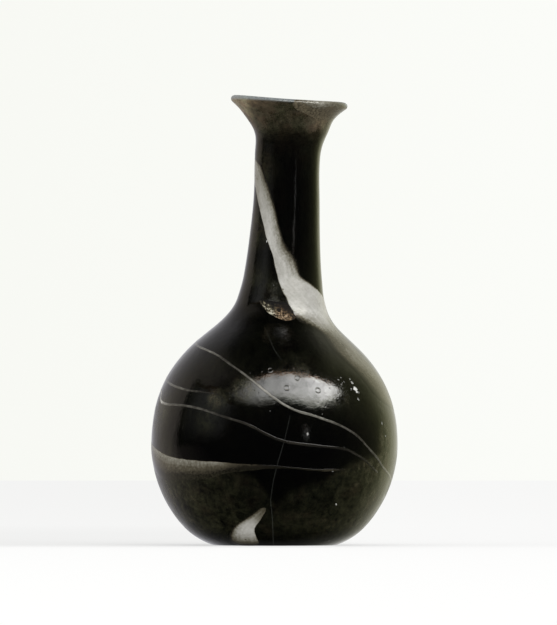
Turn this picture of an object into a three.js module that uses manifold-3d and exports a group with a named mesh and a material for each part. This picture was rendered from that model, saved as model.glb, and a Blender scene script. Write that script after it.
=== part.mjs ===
// A small perfume bottle of blown glass: a round body on a flat base, a tall narrow neck that
// leans a little, and a wide flared mouth. Trails of opaque white glass were wound round it
// while it was hot and rolled flush, so each trail lies in the wall like an inlay.
//
// Millimetres, +Z up. The origin is the middle of the flat base, the front faces -Y and the
// neck leans towards +X. A turn of 0 is the front, a quarter turn is +X, half a turn the back.

import * as THREE from 'three';
import { mergeVertices } from 'three/addons/utils/BufferGeometryUtils.js';
import Module from 'manifold-3d';

const wasm = await Module();
wasm.setup();

const { degToRad, lerp, smoothstep } = THREE.MathUtils;
const fullTurn = 2 * Math.PI;

// Outside of the vessel, along its own axis.
const bodyRadius = 33;
const baseFlattening = 5.8;
const restRadius = 16.5;
const footRise = 4.5;
const neckRise = 74.8;
const waistRadius = 8.65;
const flareRise = 17.1;
const mouthRadius = 15.6;
const flareAngle = degToRad(37);

// Thickness of the glass, and the floor inside.
const bodyWall = 2.6;
const neckWall = 2.2;
const lipThickness = 1.9;
const floorThickness = 3.8;
const insideFloorRadius = 14;
const insideFootRise = 5;

// The shallow kick under the base, and the wad of glass that the pontil rod left in it.
const kickRadius = 10.5;
const kickDepth = 2.4;
const wadRadius = 4.6;
const wadThickness = 0.9;

// How far the soft neck leaned, how far the mouth tilts beyond the neck, and how far the axis
// wanders sideways, as the neck was drawn and shaped by hand.
const leanAngle = degToRad(2.8);
const mouthTilt = degToRad(1.2);
const axisOffset = 0.5;

// The trails, their depth in the wall, and the clearance to the groove that holds each.
const broadTrailWidth = 6;
const broadTrailDepth = 0.9;
const threadWidth = 1;
const threadDepth = 0.6;
const dabWidth = 6;
const dabDepth = 0.7;
const scabWidth = 2.6;
const scabDepth = 0.7;
const seatGap = 0.3;
const cutOverrun = 1;

// How finely the round forms are stepped: columns round the axis, steps along each stretch of
// the outline, and lengths along the trails. A slope is read over the probe to either side.
const columns = 36;
const steps = { kick: 4, foot: 4, lowerBody: 7, upperBody: 2, neck: 30, lip: 4, hollow: 5, corner: 3 };
const routeSamples = 400;
const broadTrailStep = 3.6;
const threadStep = 4;
const patchStep = 1.8;
const slopeProbe = 0.4;

// Places that follow from the sizes above.
const bodyCentreHeight = bodyRadius - baseFlattening;
const waistHeight = bodyCentreHeight + neckRise;
const mouthHeight = waistHeight + flareRise;
const floorHeight = kickDepth + floorThickness;

// Shares that shape the outline. The foot's curve aims at a point this high in its rise.
const footAimShare = 0.37;
// The round body keeps its circle to this share of a right angle above its widest ring.
const roundBodyShare = 0.06;

// Shoulder and neck, from the body up to the waist: [radius share, height share], where the
// radius runs from the waist's to the body's and the height is of the neck's rise.
const shoulderShares = [
  [0.969, 0.107],
  [0.905, 0.178],
  [0.798, 0.25],
  [0.63, 0.321],
  [0.456, 0.374],
  [0.27, 0.428],
  [0.154, 0.481],
  [0.093, 0.552],
  [0.05, 0.659],
  [0.017, 0.802],
  [0.002, 0.92],
  [0, 1],
];

// The flare above the waist: [radius share from waist to mouth, height share of its rise].
const flareShares = [
  [0.043, 0.357],
  [0.158, 0.491],
  [0.295, 0.602],
  [0.446, 0.708],
  [0.64, 0.801],
];

// The wander of the axis: [height share of the bottle's, share of the wander, + towards +X].
const wanderShares = [
  [0, 0],
  [0.23, 0],
  [0.38, -0.5],
  [0.49, -1.1],
  [0.55, -0.3],
  [0.6, 0.1],
  [0.75, 0.2],
  [0.87, -0.5],
  [0.925, 0.6],
  [0.965, -0.8],
  [1, -1],
];

// Routes of the trails: [share of a turn, height as a share of the bottle's, width share].
// The broad trail starts under the lip on the right, passes behind the neck, crosses its front,
// spreads at the root of the neck and runs down round the body until it is a hair.
const broadTrailShares = [
  [0.223, 0.955, 1.05],
  [0.265, 0.926, 1],
  [0.361, 0.893, 1],
  [0.5, 0.868, 1],
  [0.639, 0.851, 1],
  [0.75, 0.841, 1],
  [0.8, 0.832, 1],
  [0.842, 0.812, 0.98],
  [0.874, 0.786, 0.92],
  [0.902, 0.758, 0.9],
  [0.93, 0.731, 0.86],
  [0.953, 0.708, 0.78],
  [0.974, 0.679, 0.68],
  [0.99, 0.652, 0.7],
  [1.008, 0.625, 0.8],
  [1.03, 0.595, 0.98],
  [1.062, 0.568, 1.2],
  [1.1, 0.548, 1.3],
  [1.136, 0.52, 1.2],
  [1.16, 0.48, 1],
  [1.178, 0.438, 0.9],
  [1.205, 0.393, 0.84],
  [1.25, 0.35, 0.8],
  [1.36, 0.303, 0.76],
  [1.5, 0.268, 0.7],
  [1.63, 0.24, 0.62],
  [1.75, 0.209, 0.53],
  [1.8, 0.192, 0.44],
  [1.84, 0.182, 0.34],
  [1.9, 0.178, 0.2],
  [1.96, 0.176, 0.12],
  [2.03, 0.172, 0.1],
  [2.1, 0.171, 0.08],
];

// The shoulder thread comes round from the back and crosses the front from high left to low
// right; the waist thread runs below it and the short thread dies away between them.
const shoulderThreadShares = [
  [0.5, 0.505, 0.6],
  [0.6, 0.487, 0.8],
  [0.7, 0.464, 1],
  [0.8, 0.44, 1],
  [0.862, 0.427, 1],
  [0.898, 0.414, 1],
  [0.927, 0.396, 1],
  [0.948, 0.38, 1],
  [0.966, 0.364, 1],
  [0.982, 0.346, 1],
  [0.998, 0.328, 1],
  [1.014, 0.312, 1],
  [1.031, 0.301, 1],
  [1.05, 0.294, 1],
  [1.069, 0.285, 1],
  [1.087, 0.276, 1],
  [1.103, 0.265, 1],
  [1.12, 0.249, 1],
  [1.136, 0.229, 1],
  [1.157, 0.207, 1],
  [1.185, 0.18, 0.95],
  [1.25, 0.147, 0.9],
  [1.34, 0.124, 0.75],
  [1.42, 0.111, 0.5],
];
const waistThreadShares = [
  [0.56, 0.384, 0.6],
  [0.65, 0.362, 0.8],
  [0.73, 0.342, 1],
  [0.778, 0.33, 1],
  [0.79, 0.312, 1],
  [0.815, 0.304, 1],
  [0.845, 0.303, 1],
  [0.87, 0.301, 1],
  [0.893, 0.297, 1],
  [0.916, 0.288, 1],
  [0.934, 0.28, 1],
  [0.954, 0.272, 1],
  [0.97, 0.263, 1],
  [0.982, 0.253, 1],
  [0.996, 0.242, 1],
  [1.011, 0.234, 1],
  [1.027, 0.23, 1],
  [1.064, 0.226, 1],
  [1.097, 0.223, 0.9],
  [1.112, 0.214, 0.85],
  [1.129, 0.203, 0.85],
  [1.145, 0.188, 0.8],
  [1.165, 0.172, 0.7],
];
const shortThreadShares = [
  [0.655, 0.392, 0.7],
  [0.72, 0.376, 1],
  [0.78, 0.357, 1],
  [0.828, 0.344, 1],
  [0.846, 0.34, 1],
  [0.865, 0.337, 0.9],
  [0.89, 0.334, 0.7],
  [0.91, 0.332, 0.5],
];

// The dab runs up from the foot to a point; the scab crosses the root of the neck.
const baseDabShares = [
  [0.944, 0.008, 1.3],
  [0.953, 0.03, 1.05],
  [0.966, 0.053, 0.8],
  [0.98, 0.07, 0.5],
  [0.989, 0.083, 0.2],
];
const trailScabShares = [
  [0.93, 0.546, 0.45],
  [0.95, 0.539, 0.9],
  [0.975, 0.53, 1],
  [0.997, 0.521, 0.8],
  [1.012, 0.515, 0.5],
];

// Turns a point about a level line through the axis, from +Z towards +X.
function tip(point, pivotHeight, angle) {
  point.z -= pivotHeight;
  point.applyAxisAngle(new THREE.Vector3(0, 1, 0), angle);
  point.z += pivotHeight;
}

// Sideways drift of the axis at a height, eased from row to row of its shares.
function wanderAt(height) {
  const heightShare = height / mouthHeight;
  const next = wanderShares.findIndex(([share]) => share >= heightShare);
  if (next <= 0) return axisOffset * wanderShares.at(next)[1];
  const [lowShare, lowDrift] = wanderShares[next - 1];
  const [highShare, highDrift] = wanderShares[next];
  return axisOffset * lerp(lowDrift, highDrift, smoothstep(heightShare, lowShare, highShare));
}

// Moves a point of the upright bottle to where the leaning bottle has it. The base stays
// level, the body turns about its own centre, so it stays round, and the neck goes with it.
function lean(point) {
  const uprightHeight = point.z;
  point.x += wanderAt(uprightHeight);
  tip(point, mouthHeight, mouthTilt * smoothstep(uprightHeight, waistHeight, mouthHeight));
  tip(point, bodyCentreHeight, leanAngle * smoothstep(uprightHeight, 0, bodyCentreHeight));
  return point;
}

function leanGeometry(geometry) {
  const positions = geometry.attributes.position;
  const point = new THREE.Vector3();
  for (let i = 0; i < positions.count; i++) {
    lean(point.fromBufferAttribute(positions, i));
    positions.setXYZ(i, point.x, point.y, point.z);
  }
  return geometry;
}

// Points of an outline given as shares between two corners.
function outlinePoints(shares, startRadius, endRadius, startHeight, rise) {
  return shares.map(([radiusShare, heightShare]) => new THREE.Vector2(
    lerp(startRadius, endRadius, radiusShare),
    startHeight + rise * heightShare,
  ));
}

// The circle of the body, or of the hollow inside it, at an angle above its widest ring.
function bodyCircle(radius, angle) {
  return new THREE.Vector2(
    radius * Math.cos(angle),
    bodyCentreHeight + radius * Math.sin(angle),
  );
}

function arcPoints(radius, startAngle, endAngle, count) {
  return Array.from({ length: count + 1 }, (_, i) =>
    bodyCircle(radius, lerp(startAngle, endAngle, i / count)));
}

// A curve that leaves level from its start and runs into the body's circle at an angle.
function blendIntoCircle(start, radius, angle, aimHeight, count) {
  const end = bodyCircle(radius, angle);
  const aim = new THREE.Vector2(end.x + (end.y - aimHeight) * Math.tan(angle), aimHeight);
  return new THREE.QuadraticBezierCurve(start, aim, end).getPoints(count);
}

// The rounded lip: half a turn about its middle, from the flare's outside to its inside.
const lipRadius = lipThickness / 2;
const lipCentre = new THREE.Vector2(mouthRadius - lipRadius, mouthHeight - lipRadius);
const lipStart = flareAngle - Math.PI / 2;

function lipPoint(angle) {
  return new THREE.Vector2(
    lipCentre.x + lipRadius * Math.cos(angle),
    lipCentre.y + lipRadius * Math.sin(angle),
  );
}

// The outside outline, from the edge of the flat base up to the lip, in rising order.
function makeOutsideOutline() {
  const bodyStart = -Math.asin((bodyCentreHeight - footRise) / bodyRadius);
  const bodyEnd = roundBodyShare * Math.PI / 2;
  const foot = blendIntoCircle(
    new THREE.Vector2(restRadius, 0), bodyRadius, bodyStart, footAimShare * footRise, steps.foot);
  const lowerBody = arcPoints(bodyRadius, bodyStart, 0, steps.lowerBody);
  const upperBody = arcPoints(bodyRadius, 0, bodyEnd, steps.upperBody);
  const neck = new THREE.SplineCurve([
    bodyCircle(bodyRadius, bodyEnd),
    ...outlinePoints(shoulderShares, waistRadius, bodyRadius, bodyCentreHeight, neckRise),
    ...outlinePoints(flareShares, waistRadius, mouthRadius, waistHeight, flareRise),
    lipPoint(lipStart),
  ]).getPoints(steps.neck);
  return [...foot, ...lowerBody.slice(1), ...upperBody.slice(1), ...neck.slice(1)];
}

const outsideOutline = makeOutsideOutline();

// The outside radius at a height, read along the outline and held beyond its two ends.
function outsideRadius(height) {
  const next = outsideOutline.findIndex((point) => point.y > height);
  if (next === 0) return restRadius;
  if (next < 0) return outsideOutline.at(-1).x;
  const low = outsideOutline[next - 1];
  const high = outsideOutline[next];
  return lerp(low.x, high.x, (height - low.y) / (high.y - low.y));
}

// The upright surface at a turn and height, with its outward normal and its two directions
// along the surface: level, the way the turn grows, and up the outline.
function outsideSurface(turn, height) {
  const radius = outsideRadius(height);
  const spread = outsideRadius(height + slopeProbe) - outsideRadius(height - slopeProbe);
  const steepness = Math.atan2(spread, 2 * slopeProbe);
  const level = new THREE.Vector3(Math.cos(turn), Math.sin(turn), 0);
  const outward = new THREE.Vector3(Math.sin(turn), -Math.cos(turn), 0);
  const point = outward.clone().multiplyScalar(radius).setZ(height);
  const up = outward.clone().multiplyScalar(Math.sin(steepness)).setZ(Math.cos(steepness));
  return { radius, steepness, point, level, up, normal: level.clone().cross(up) };
}

// Thickness of the wall at a height: the body's, thinning up the neck and again to the lip.
function wallAt(height) {
  const neckward = smoothstep(height, bodyCentreHeight, waistHeight);
  const lipward = smoothstep(height, waistHeight, mouthHeight);
  return lerp(lerp(bodyWall, neckWall, neckward), lipThickness, lipward);
}

// The inside outline, from the lip down to the floor on the axis, set in by the wall.
function makeInsideOutline() {
  const above = outsideOutline.filter((point, i) =>
    point.y > bodyCentreHeight && point.y < lipCentre.y - lipRadius && i % 2 === 0);
  const neck = above.reverse().map(({ x, y }) => {
    const { steepness } = outsideSurface(0, y);
    const wall = wallAt(y);
    return new THREE.Vector2(x - wall * Math.cos(steepness), y + wall * Math.sin(steepness));
  });
  const hollowRadius = bodyRadius - bodyWall;
  const floorAngle = -Math.asin((bodyCentreHeight - floorHeight - insideFootRise) / hollowRadius);
  const body = arcPoints(hollowRadius, 0, floorAngle, steps.hollow);
  const floorEdge = new THREE.Vector2(insideFloorRadius, floorHeight);
  const corner = blendIntoCircle(
    floorEdge, hollowRadius, floorAngle, floorHeight, steps.corner);
  return [...neck, ...body, ...corner.reverse().slice(1), new THREE.Vector2(0, floorHeight)];
}

// Height of the kick's dome over the resting plane.
function kickHeight(radius) {
  return kickDepth * (1 - (radius / kickRadius) ** 2);
}

// Points down the kick's dome from the axis, or down a copy of it that hangs lower by a drop.
function kickPoints(reach, drop) {
  return Array.from({ length: steps.kick + 1 }, (_, i) => {
    const radius = reach * i / steps.kick;
    return new THREE.Vector2(radius, kickHeight(radius) - drop);
  });
}

// A round solid from an outline that starts and ends on the axis, then leaned.
function turned(outline) {
  const geometry = new THREE.LatheGeometry(outline, columns);
  geometry.rotateX(Math.PI / 2);
  return leanGeometry(geometry);
}

// A solid of manifold-3d from a closed geometry, without the empty triangles at its poles.
function solidFrom(geometry) {
  const plain = geometry.clone();
  plain.deleteAttribute('normal');
  plain.deleteAttribute('uv');
  const merged = mergeVertices(plain);
  const corners = merged.index.array;
  const kept = [];
  for (let i = 0; i < corners.length; i += 3) {
    const [a, b, c] = corners.slice(i, i + 3);
    if (a !== b && b !== c && c !== a) kept.push(a, b, c);
  }
  return new wasm.Manifold(new wasm.Mesh({
    numProp: 3,
    vertProperties: Float32Array.from(merged.attributes.position.array),
    triVerts: Uint32Array.from(kept),
  }));
}

function geometryFrom(solid) {
  const { vertProperties, triVerts } = solid.getMesh();
  const geometry = new THREE.BufferGeometry();
  geometry.setAttribute('position', new THREE.BufferAttribute(vertProperties, 3));
  geometry.setIndex(new THREE.BufferAttribute(triVerts, 1));
  geometry.computeVertexNormals();
  return geometry;
}

// A trail of glass let into the wall along a route of shares. Grown by a clearance and stood
// proud of the wall, the same trail is the cutter of its own groove.
function trailGeometry({ shares, width, depth, step, columnsAcross }, clearance = 0, proud = 0) {
  const route = new THREE.CatmullRomCurve3(shares.map(([turn, height, spread]) =>
    new THREE.Vector3(turn * fullTurn, height * mouthHeight, spread * width)), false, 'centripetal');
  const places = route.getPoints(Math.round(routeLength(route) / step));
  const surfaces = places.map(({ x, y }) => outsideSurface(x, y));
  const rings = places.map((place, i) => {
    const before = surfaces[Math.max(i - 1, 0)];
    const after = surfaces[Math.min(i + 1, places.length - 1)];
    const along = after.point.clone().sub(before.point).normalize();
    const isEnd = i === 0 ? -1 : i === places.length - 1 ? 1 : 0;
    return trailRing(place, surfaces[i], along, {
      halfWidth: place.z / 2 + clearance,
      depth: depth + clearance,
      forward: isEnd * clearance,
      proud,
      columnsAcross,
    });
  });
  return leanGeometry(loftRings(rings));
}

// Length of a route over the wall.
function routeLength(route) {
  const points = route.getPoints(routeSamples).map(({ x, y }) => outsideSurface(x, y).point);
  return points.slice(1).reduce((sum, point, i) => sum + point.distanceTo(points[i]), 0);
}

// One section of a trail: across its outer face, then back across its underside.
function trailRing(place, surface, along, { halfWidth, depth, forward, proud, columnsAcross }) {
  const side = surface.normal.clone().cross(along).normalize();
  const faces = Array.from({ length: columnsAcross + 1 }, (_, i) => {
    const offset = side.clone().multiplyScalar(lerp(-halfWidth, halfWidth, i / columnsAcross));
    offset.addScaledVector(along, forward);
    const turn = place.x + offset.dot(surface.level) / surface.radius;
    const height = place.y + offset.dot(surface.up) * Math.cos(surface.steepness);
    return outsideSurface(turn, height);
  });
  const outer = faces.map(({ point, normal }) => point.clone().addScaledVector(normal, proud));
  const inner = faces.map(({ point, normal }) => point.clone().addScaledVector(normal, -depth));
  return [...outer, ...inner.reverse()];
}

// A closed solid through equal rings of points, with its two ends filled.
function loftRings(rings) {
  const size = rings[0].length;
  const positions = rings.flat().flatMap(({ x, y, z }) => [x, y, z]);
  const corners = [];
  for (let ring = 0; ring < rings.length - 1; ring++) {
    for (let i = 0; i < size; i++) {
      const near = ring * size + i;
      const beside = ring * size + (i + 1) % size;
      corners.push(near, near + size, beside, beside, near + size, beside + size);
    }
  }
  const last = (rings.length - 1) * size;
  for (let i = 0; i < size / 2 - 1; i++) {
    const far = size - 1 - i;
    corners.push(i, i + 1, far, i + 1, far - 1, far);
    corners.push(last + i, last + far, last + i + 1, last + i + 1, last + far, last + far - 1);
  }
  const geometry = new THREE.BufferGeometry();
  geometry.setAttribute('position', new THREE.Float32BufferAttribute(positions, 3));
  geometry.setIndex(corners);
  geometry.computeVertexNormals();
  return geometry;
}

const trails = {
  broad_trail: {
    shares: broadTrailShares, width: broadTrailWidth, depth: broadTrailDepth,
    step: broadTrailStep, columnsAcross: 4,
  },
  shoulder_thread: {
    shares: shoulderThreadShares, width: threadWidth, depth: threadDepth,
    step: threadStep, columnsAcross: 1,
  },
  waist_thread: {
    shares: waistThreadShares, width: threadWidth, depth: threadDepth,
    step: threadStep, columnsAcross: 1,
  },
  short_thread: {
    shares: shortThreadShares, width: threadWidth, depth: threadDepth,
    step: threadStep, columnsAcross: 1,
  },
  base_dab: {
    shares: baseDabShares, width: dabWidth, depth: dabDepth, step: patchStep, columnsAcross: 3,
  },
  trail_scab: {
    shares: trailScabShares, width: scabWidth, depth: scabDepth, step: patchStep, columnsAcross: 2,
  },
};

// The blown vessel, open at the mouth, with a groove for every trail.
function makeVessel() {
  const lip = Array.from({ length: steps.lip + 1 }, (_, i) =>
    lipPoint(lipStart + Math.PI * i / steps.lip));
  const outline = [
    ...kickPoints(kickRadius, 0),
    ...outsideOutline,
    ...lip.slice(1),
    ...makeInsideOutline(),
  ];
  let vessel = solidFrom(turned(outline));
  for (const trail of Object.values(trails)) {
    vessel = vessel.subtract(solidFrom(trailGeometry(trail, seatGap, cutOverrun)));
  }
  return geometryFrom(vessel);
}

// The pontil's wad: its top follows the kick at the seat's clearance, its edge is thinner.
function makePontilWad() {
  const top = kickPoints(wadRadius, seatGap).reverse();
  const middle = top.at(-1).y - wadThickness;
  const edge = top[0].y - wadThickness / 2;
  const under = [new THREE.Vector2(0, middle), new THREE.Vector2(wadRadius, edge)];
  return geometryFrom(solidFrom(turned([...under, ...top])));
}

const darkGlass = { color: 0x131218, roughness: 0.14, metalness: 0 };
const whiteGlass = { color: 0xd3d3c8, roughness: 0.32, metalness: 0 };
const paleThreadGlass = { color: 0x9c9a92, roughness: 0.3, metalness: 0 };
const crustedGlass = { color: 0xa79a84, roughness: 0.8, metalness: 0 };

const bottle = new THREE.Group();

function addPiece(name, geometry, finish) {
  const mesh = new THREE.Mesh(geometry, new THREE.MeshStandardMaterial(finish));
  mesh.name = name;
  bottle.add(mesh);
}

addPiece('vessel', makeVessel(), darkGlass);
addPiece('pontil_wad', makePontilWad(), darkGlass);
addPiece('broad_trail', trailGeometry(trails.broad_trail), whiteGlass);
addPiece('shoulder_thread', trailGeometry(trails.shoulder_thread), paleThreadGlass);
addPiece('waist_thread', trailGeometry(trails.waist_thread), paleThreadGlass);
addPiece('short_thread', trailGeometry(trails.short_thread), paleThreadGlass);
addPiece('base_dab', trailGeometry(trails.base_dab), whiteGlass);
addPiece('trail_scab', trailGeometry(trails.trail_scab), crustedGlass);

export default bottle;
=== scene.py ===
# %% [markdown]
# # A small perfume bottle of blown glass
# The bottle was blown from very dark glass: a round body on a flat foot, a tall neck that leans,
# and a flared mouth. Soft white glass was trailed round it and rolled in flush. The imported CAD
# part gives every size. This file builds the skin that the eye sees over it: the same forms,
# smooth and a little uneven as hand work is, with the finishes of old glass.
#
# Sizes are in millimetres until a mesh is made. +Z is up, the front faces -Y, and a turn of 0
# is the front, a quarter turn +X, half a turn the back.

import bpy
import numpy as np
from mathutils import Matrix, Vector


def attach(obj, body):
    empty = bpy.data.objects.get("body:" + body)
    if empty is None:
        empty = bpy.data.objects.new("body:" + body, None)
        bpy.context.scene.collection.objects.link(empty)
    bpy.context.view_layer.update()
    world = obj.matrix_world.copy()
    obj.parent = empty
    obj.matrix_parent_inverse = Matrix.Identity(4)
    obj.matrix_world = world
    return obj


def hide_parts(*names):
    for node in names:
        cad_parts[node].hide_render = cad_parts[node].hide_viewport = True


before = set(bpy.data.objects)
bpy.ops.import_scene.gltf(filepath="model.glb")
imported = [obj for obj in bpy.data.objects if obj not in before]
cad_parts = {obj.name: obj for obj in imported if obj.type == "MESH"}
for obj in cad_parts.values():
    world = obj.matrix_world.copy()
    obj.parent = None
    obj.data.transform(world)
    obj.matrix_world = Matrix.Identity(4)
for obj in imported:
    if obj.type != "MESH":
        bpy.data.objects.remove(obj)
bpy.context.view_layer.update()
millimetre = 0.001
print("packed nodes:", ", ".join(sorted(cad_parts)))

# %% [markdown]
# ## The camera
# The photograph looks level at the bottle from far away, so its sides hardly converge. A long
# lens from 2.5 m gives that. The camera stands near the height of the foot, because the
# foot's edge looks almost straight, and it is aimed at the middle of the picture.

# %% Camera
picture_width, picture_height = 557, 625
pixel_size = 0.26667
axis_column, base_row = 274.5, 545.15
camera_distance = 2500
camera_height = 28

view_height = picture_height * pixel_size
aim = millimetre * Vector((
    (picture_width / 2 - axis_column) * pixel_size,
    0,
    (base_row - picture_height / 2) * pixel_size,
))
camera_data = bpy.data.cameras.new("camera")
camera_data.lens = camera_data.sensor_width * camera_distance / view_height
camera = bpy.data.objects.new("camera", camera_data)
camera.location = (aim.x, -camera_distance * millimetre, camera_height * millimetre)
camera.rotation_euler = (aim - camera.location).to_track_quat("-Z", "Y").to_euler()
bpy.context.scene.collection.objects.link(camera)
bpy.context.scene.camera = camera
bpy.context.scene.view_settings.view_transform = "Standard"
print(f"lens {camera_data.lens:.0f} mm over {view_height:.0f} mm of height")

# %% [markdown]
# ## Helpers for nodes and colours
# Every finish is a small graph of nodes, and one function adds a node with its settings and
# links. Colours are written as on a screen, and one function turns them to the linear light
# that the shaders work in.


# %% Nodes and colours
def linear(colour):
    """Linear RGBA from sRGB hex: each channel is a straight line near black, a power above."""
    channels = np.array([int(colour[i:i + 2], 16) for i in (1, 3, 5)]) / 255
    low, high = channels / 12.92, ((channels + 0.055) / 1.055) ** 2.4
    return (*np.where(channels <= 0.04045, low, high), 1.0)


def add_node(tree, kind, inputs=None, stops=None, **settings):
    """Adds a node and returns its first output in use. Inputs are named or counted sockets,
    each with a number, a hex colour or the output that feeds it; stops fill a ramp."""
    node = tree.nodes.new(kind)
    for name, value in settings.items():
        setattr(node, name, value)
    for name, value in (inputs or {}).items():
        in_use = [s for s in node.inputs if s.enabled]
        socket = in_use[name] if isinstance(name, int) else next(
            s for s in in_use if s.name == name)
        if isinstance(value, bpy.types.NodeSocket):
            tree.links.new(value, socket)
        else:
            socket.default_value = linear(value) if isinstance(value, str) else value
    if stops:
        ramp = node.color_ramp.elements
        while len(ramp) < len(stops):
            ramp.new(1.0)
        for element, (place, shade) in zip(ramp, stops):
            element.position = place
            element.color = linear(shade) if isinstance(shade, str) else (shade,) * 3 + (1,)
    return next((s for s in node.outputs if s.enabled), node)


print("mid grey as linear light:", round(linear("#808080")[0], 3))


# %% Finishes
def new_finish(name):
    """A new material with nodes: the material, its node tree and its surface shader."""
    material = bpy.data.materials.new(name)
    material.use_nodes = True
    return material, material.node_tree, material.node_tree.nodes["Principled BSDF"]


def point_in_millimetres(tree):
    """Object coordinates by which one unit of a pattern is a millimetre of the real bottle."""
    in_metres = add_node(tree, "ShaderNodeTexCoord").node.outputs["Object"]
    return add_node(tree, "ShaderNodeVectorMath", {
        0: in_metres, 1: (1 / millimetre,) * 3}, operation="MULTIPLY")


print("patterns count", 1 / millimetre, "units to the metre")

# %% [markdown]
# ## The floor and the light
# Black glass shows its surroundings more than its own colour, so the light is built like the
# photograph's: a light table under the bottle, a white sweep behind it, a dark room in front,
# and one broad window above the camera. Camera rays see a plain pale backdrop. Rays that bounce
# off gloss see the sweep and the room, as two ramps: one round the horizon, one up the sky.
# Rays that bounce off matt surfaces see an even white, as in a light tent.

# %% Floor
floor_reach = 4.0
floor_mesh = bpy.data.meshes.new("floor")
floor_mesh.from_pydata(
    [(x * floor_reach, y * floor_reach, 0) for x, y in ((-1, -1), (1, -1), (1, 1), (-1, 1))],
    [], [(0, 1, 2, 3)])
floor = bpy.data.objects.new("floor", floor_mesh)
floor.visible_glossy = False
bpy.context.scene.collection.objects.link(floor)

# A sheet of opal glass lit from below, so it is pale right up to the bottle's foot. Behind the
# bottle on the left its glow is painted a little darker: a painted shadow of the bottle.
light_table, tree, shader = new_finish("opal glass light table")
table = shader.inputs
table["Base Color"].default_value = linear("#9A9A99")
table["Roughness"].default_value = 0.9
table["Specular IOR Level"].default_value = 0.0
table["Emission Strength"].default_value = 1.0
table_point = add_node(tree, "ShaderNodeTexCoord").node.outputs["Object"]
table_place = add_node(tree, "ShaderNodeSeparateXYZ", {"Vector": table_point}).node.outputs
behind = add_node(tree, "ShaderNodeMapRange", {
    "Value": table_place["Y"], "From Min": -0.06, "From Max": 0.6})
leftward = add_node(tree, "ShaderNodeMapRange", {
    "Value": table_place["X"], "From Min": 0.03, "From Max": -0.03},
    interpolation_type="SMOOTHSTEP")
# Painted shadow: on the left the glow dims just behind the bottle.
glow_left_painted_shadow = add_node(tree, "ShaderNodeValToRGB", {"Fac": behind}, stops=[
    (0.0, 0.665), (0.1, 0.56), (0.6, 0.575), (1.0, 0.61)])
glow_right = add_node(tree, "ShaderNodeValToRGB", {"Fac": behind}, stops=[
    (0.0, 0.66), (0.1, 0.63), (1.0, 0.64)])
table_glow = add_node(tree, "ShaderNodeMix", {
    "Factor": leftward, "A": glow_right, "B": glow_left_painted_shadow}, data_type="RGBA")
tree.links.new(table_glow, table["Emission Color"])
floor_mesh.materials.append(light_table)
print("floor", 2 * floor_reach, "m wide")

# %% [markdown]
# ## The surroundings
# The world stands for the room. A picture of a room could light the bottle, but smooth walls
# need no more than two ramps, and in a ramp each number says what it is for. The bottle gave
# them: its right edge mirrors what stands far to the right, its shoulder what stands over it,
# and the round of its body under the waist mirrors the table.

# %% World: shades
# [bearing in degrees from straight back, + to the right, and what stands there]
shades_round = [
    (-110, 0.01), (-76, "#5A5450"), (-66, "#9E968E"), (-49, "#B4ACA2"), (-30, "#BCB8BA"),
    (-5, "#DCDCE2"), (25, "#F6F5D8"), (40, "#E6E6BC"), (50, "#A8AA80"), (60, "#7A7B58"),
    (74, "#5C5C44"), (95, "#34342A"), (130, 0.01)]
# [degrees over the horizon, share of that shade]
shares_up = [
    (-60, 0.0), (-35, 0.12), (-20, 0.52), (-8, 1.0), (12, 1.0), (25, 0.85), (38, 0.6),
    (50, 0.5), (62, 0.07), (75, 0.0)]
tent_white = "#F3F3F2"
backdrop_left, backdrop_right = "#F8F9F4", "#FBFCF8"


def bearing_place(degrees):
    """Place on the ramp round the horizon of an angle from straight back, + to the right."""
    return degrees / 360 + 0.5


def height_place(degrees):
    """Place on the ramp up the sky of an angle over the horizon: its sine, from 0 to 1."""
    return (np.sin(np.radians(degrees)) + 1) / 2


print(len(shades_round), "shades round the horizon,", len(shares_up), "shares up the sky")

# %% World: nodes
world = bpy.data.worlds.new("studio")
world.use_nodes = True
bpy.context.scene.world = world
sky = world.node_tree
sky.nodes.clear()
direction = add_node(sky, "ShaderNodeTexCoord").node.outputs["Generated"]
parts = add_node(sky, "ShaderNodeSeparateXYZ", {"Vector": direction}).node.outputs
bearing = add_node(
    sky, "ShaderNodeMath", {0: parts["X"], 1: parts["Y"]}, operation="ARCTAN2")
# The sweep looks wider above and below the horizon, so there its bearings are drawn in.
steepness = add_node(sky, "ShaderNodeMath", {0: parts["Z"]}, operation="ABSOLUTE")
drawn_in = add_node(
    sky, "ShaderNodeMapRange", {"Value": steepness, "To Min": 1.0, "To Max": 0.5})
drawn_bearing = add_node(sky, "ShaderNodeMath", {0: bearing, 1: drawn_in}, operation="MULTIPLY")
bearing_share = add_node(
    sky, "ShaderNodeMapRange", {"Value": drawn_bearing, "From Min": -np.pi, "From Max": np.pi})
height_share = add_node(
    sky, "ShaderNodeMapRange", {"Value": parts["Z"], "From Min": -1.0, "From Max": 1.0})
round_horizon = add_node(sky, "ShaderNodeValToRGB", {"Fac": bearing_share}, stops=[
    (bearing_place(degrees), shade) for degrees, shade in shades_round])
up_sky = add_node(sky, "ShaderNodeValToRGB", {"Fac": height_share}, stops=[
    (height_place(degrees), share) for degrees, share in shares_up])
sweep = add_node(
    sky, "ShaderNodeMix", {"Factor": 1.0, "A": round_horizon, "B": up_sky},
    data_type="RGBA", blend_type="MULTIPLY")
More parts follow.
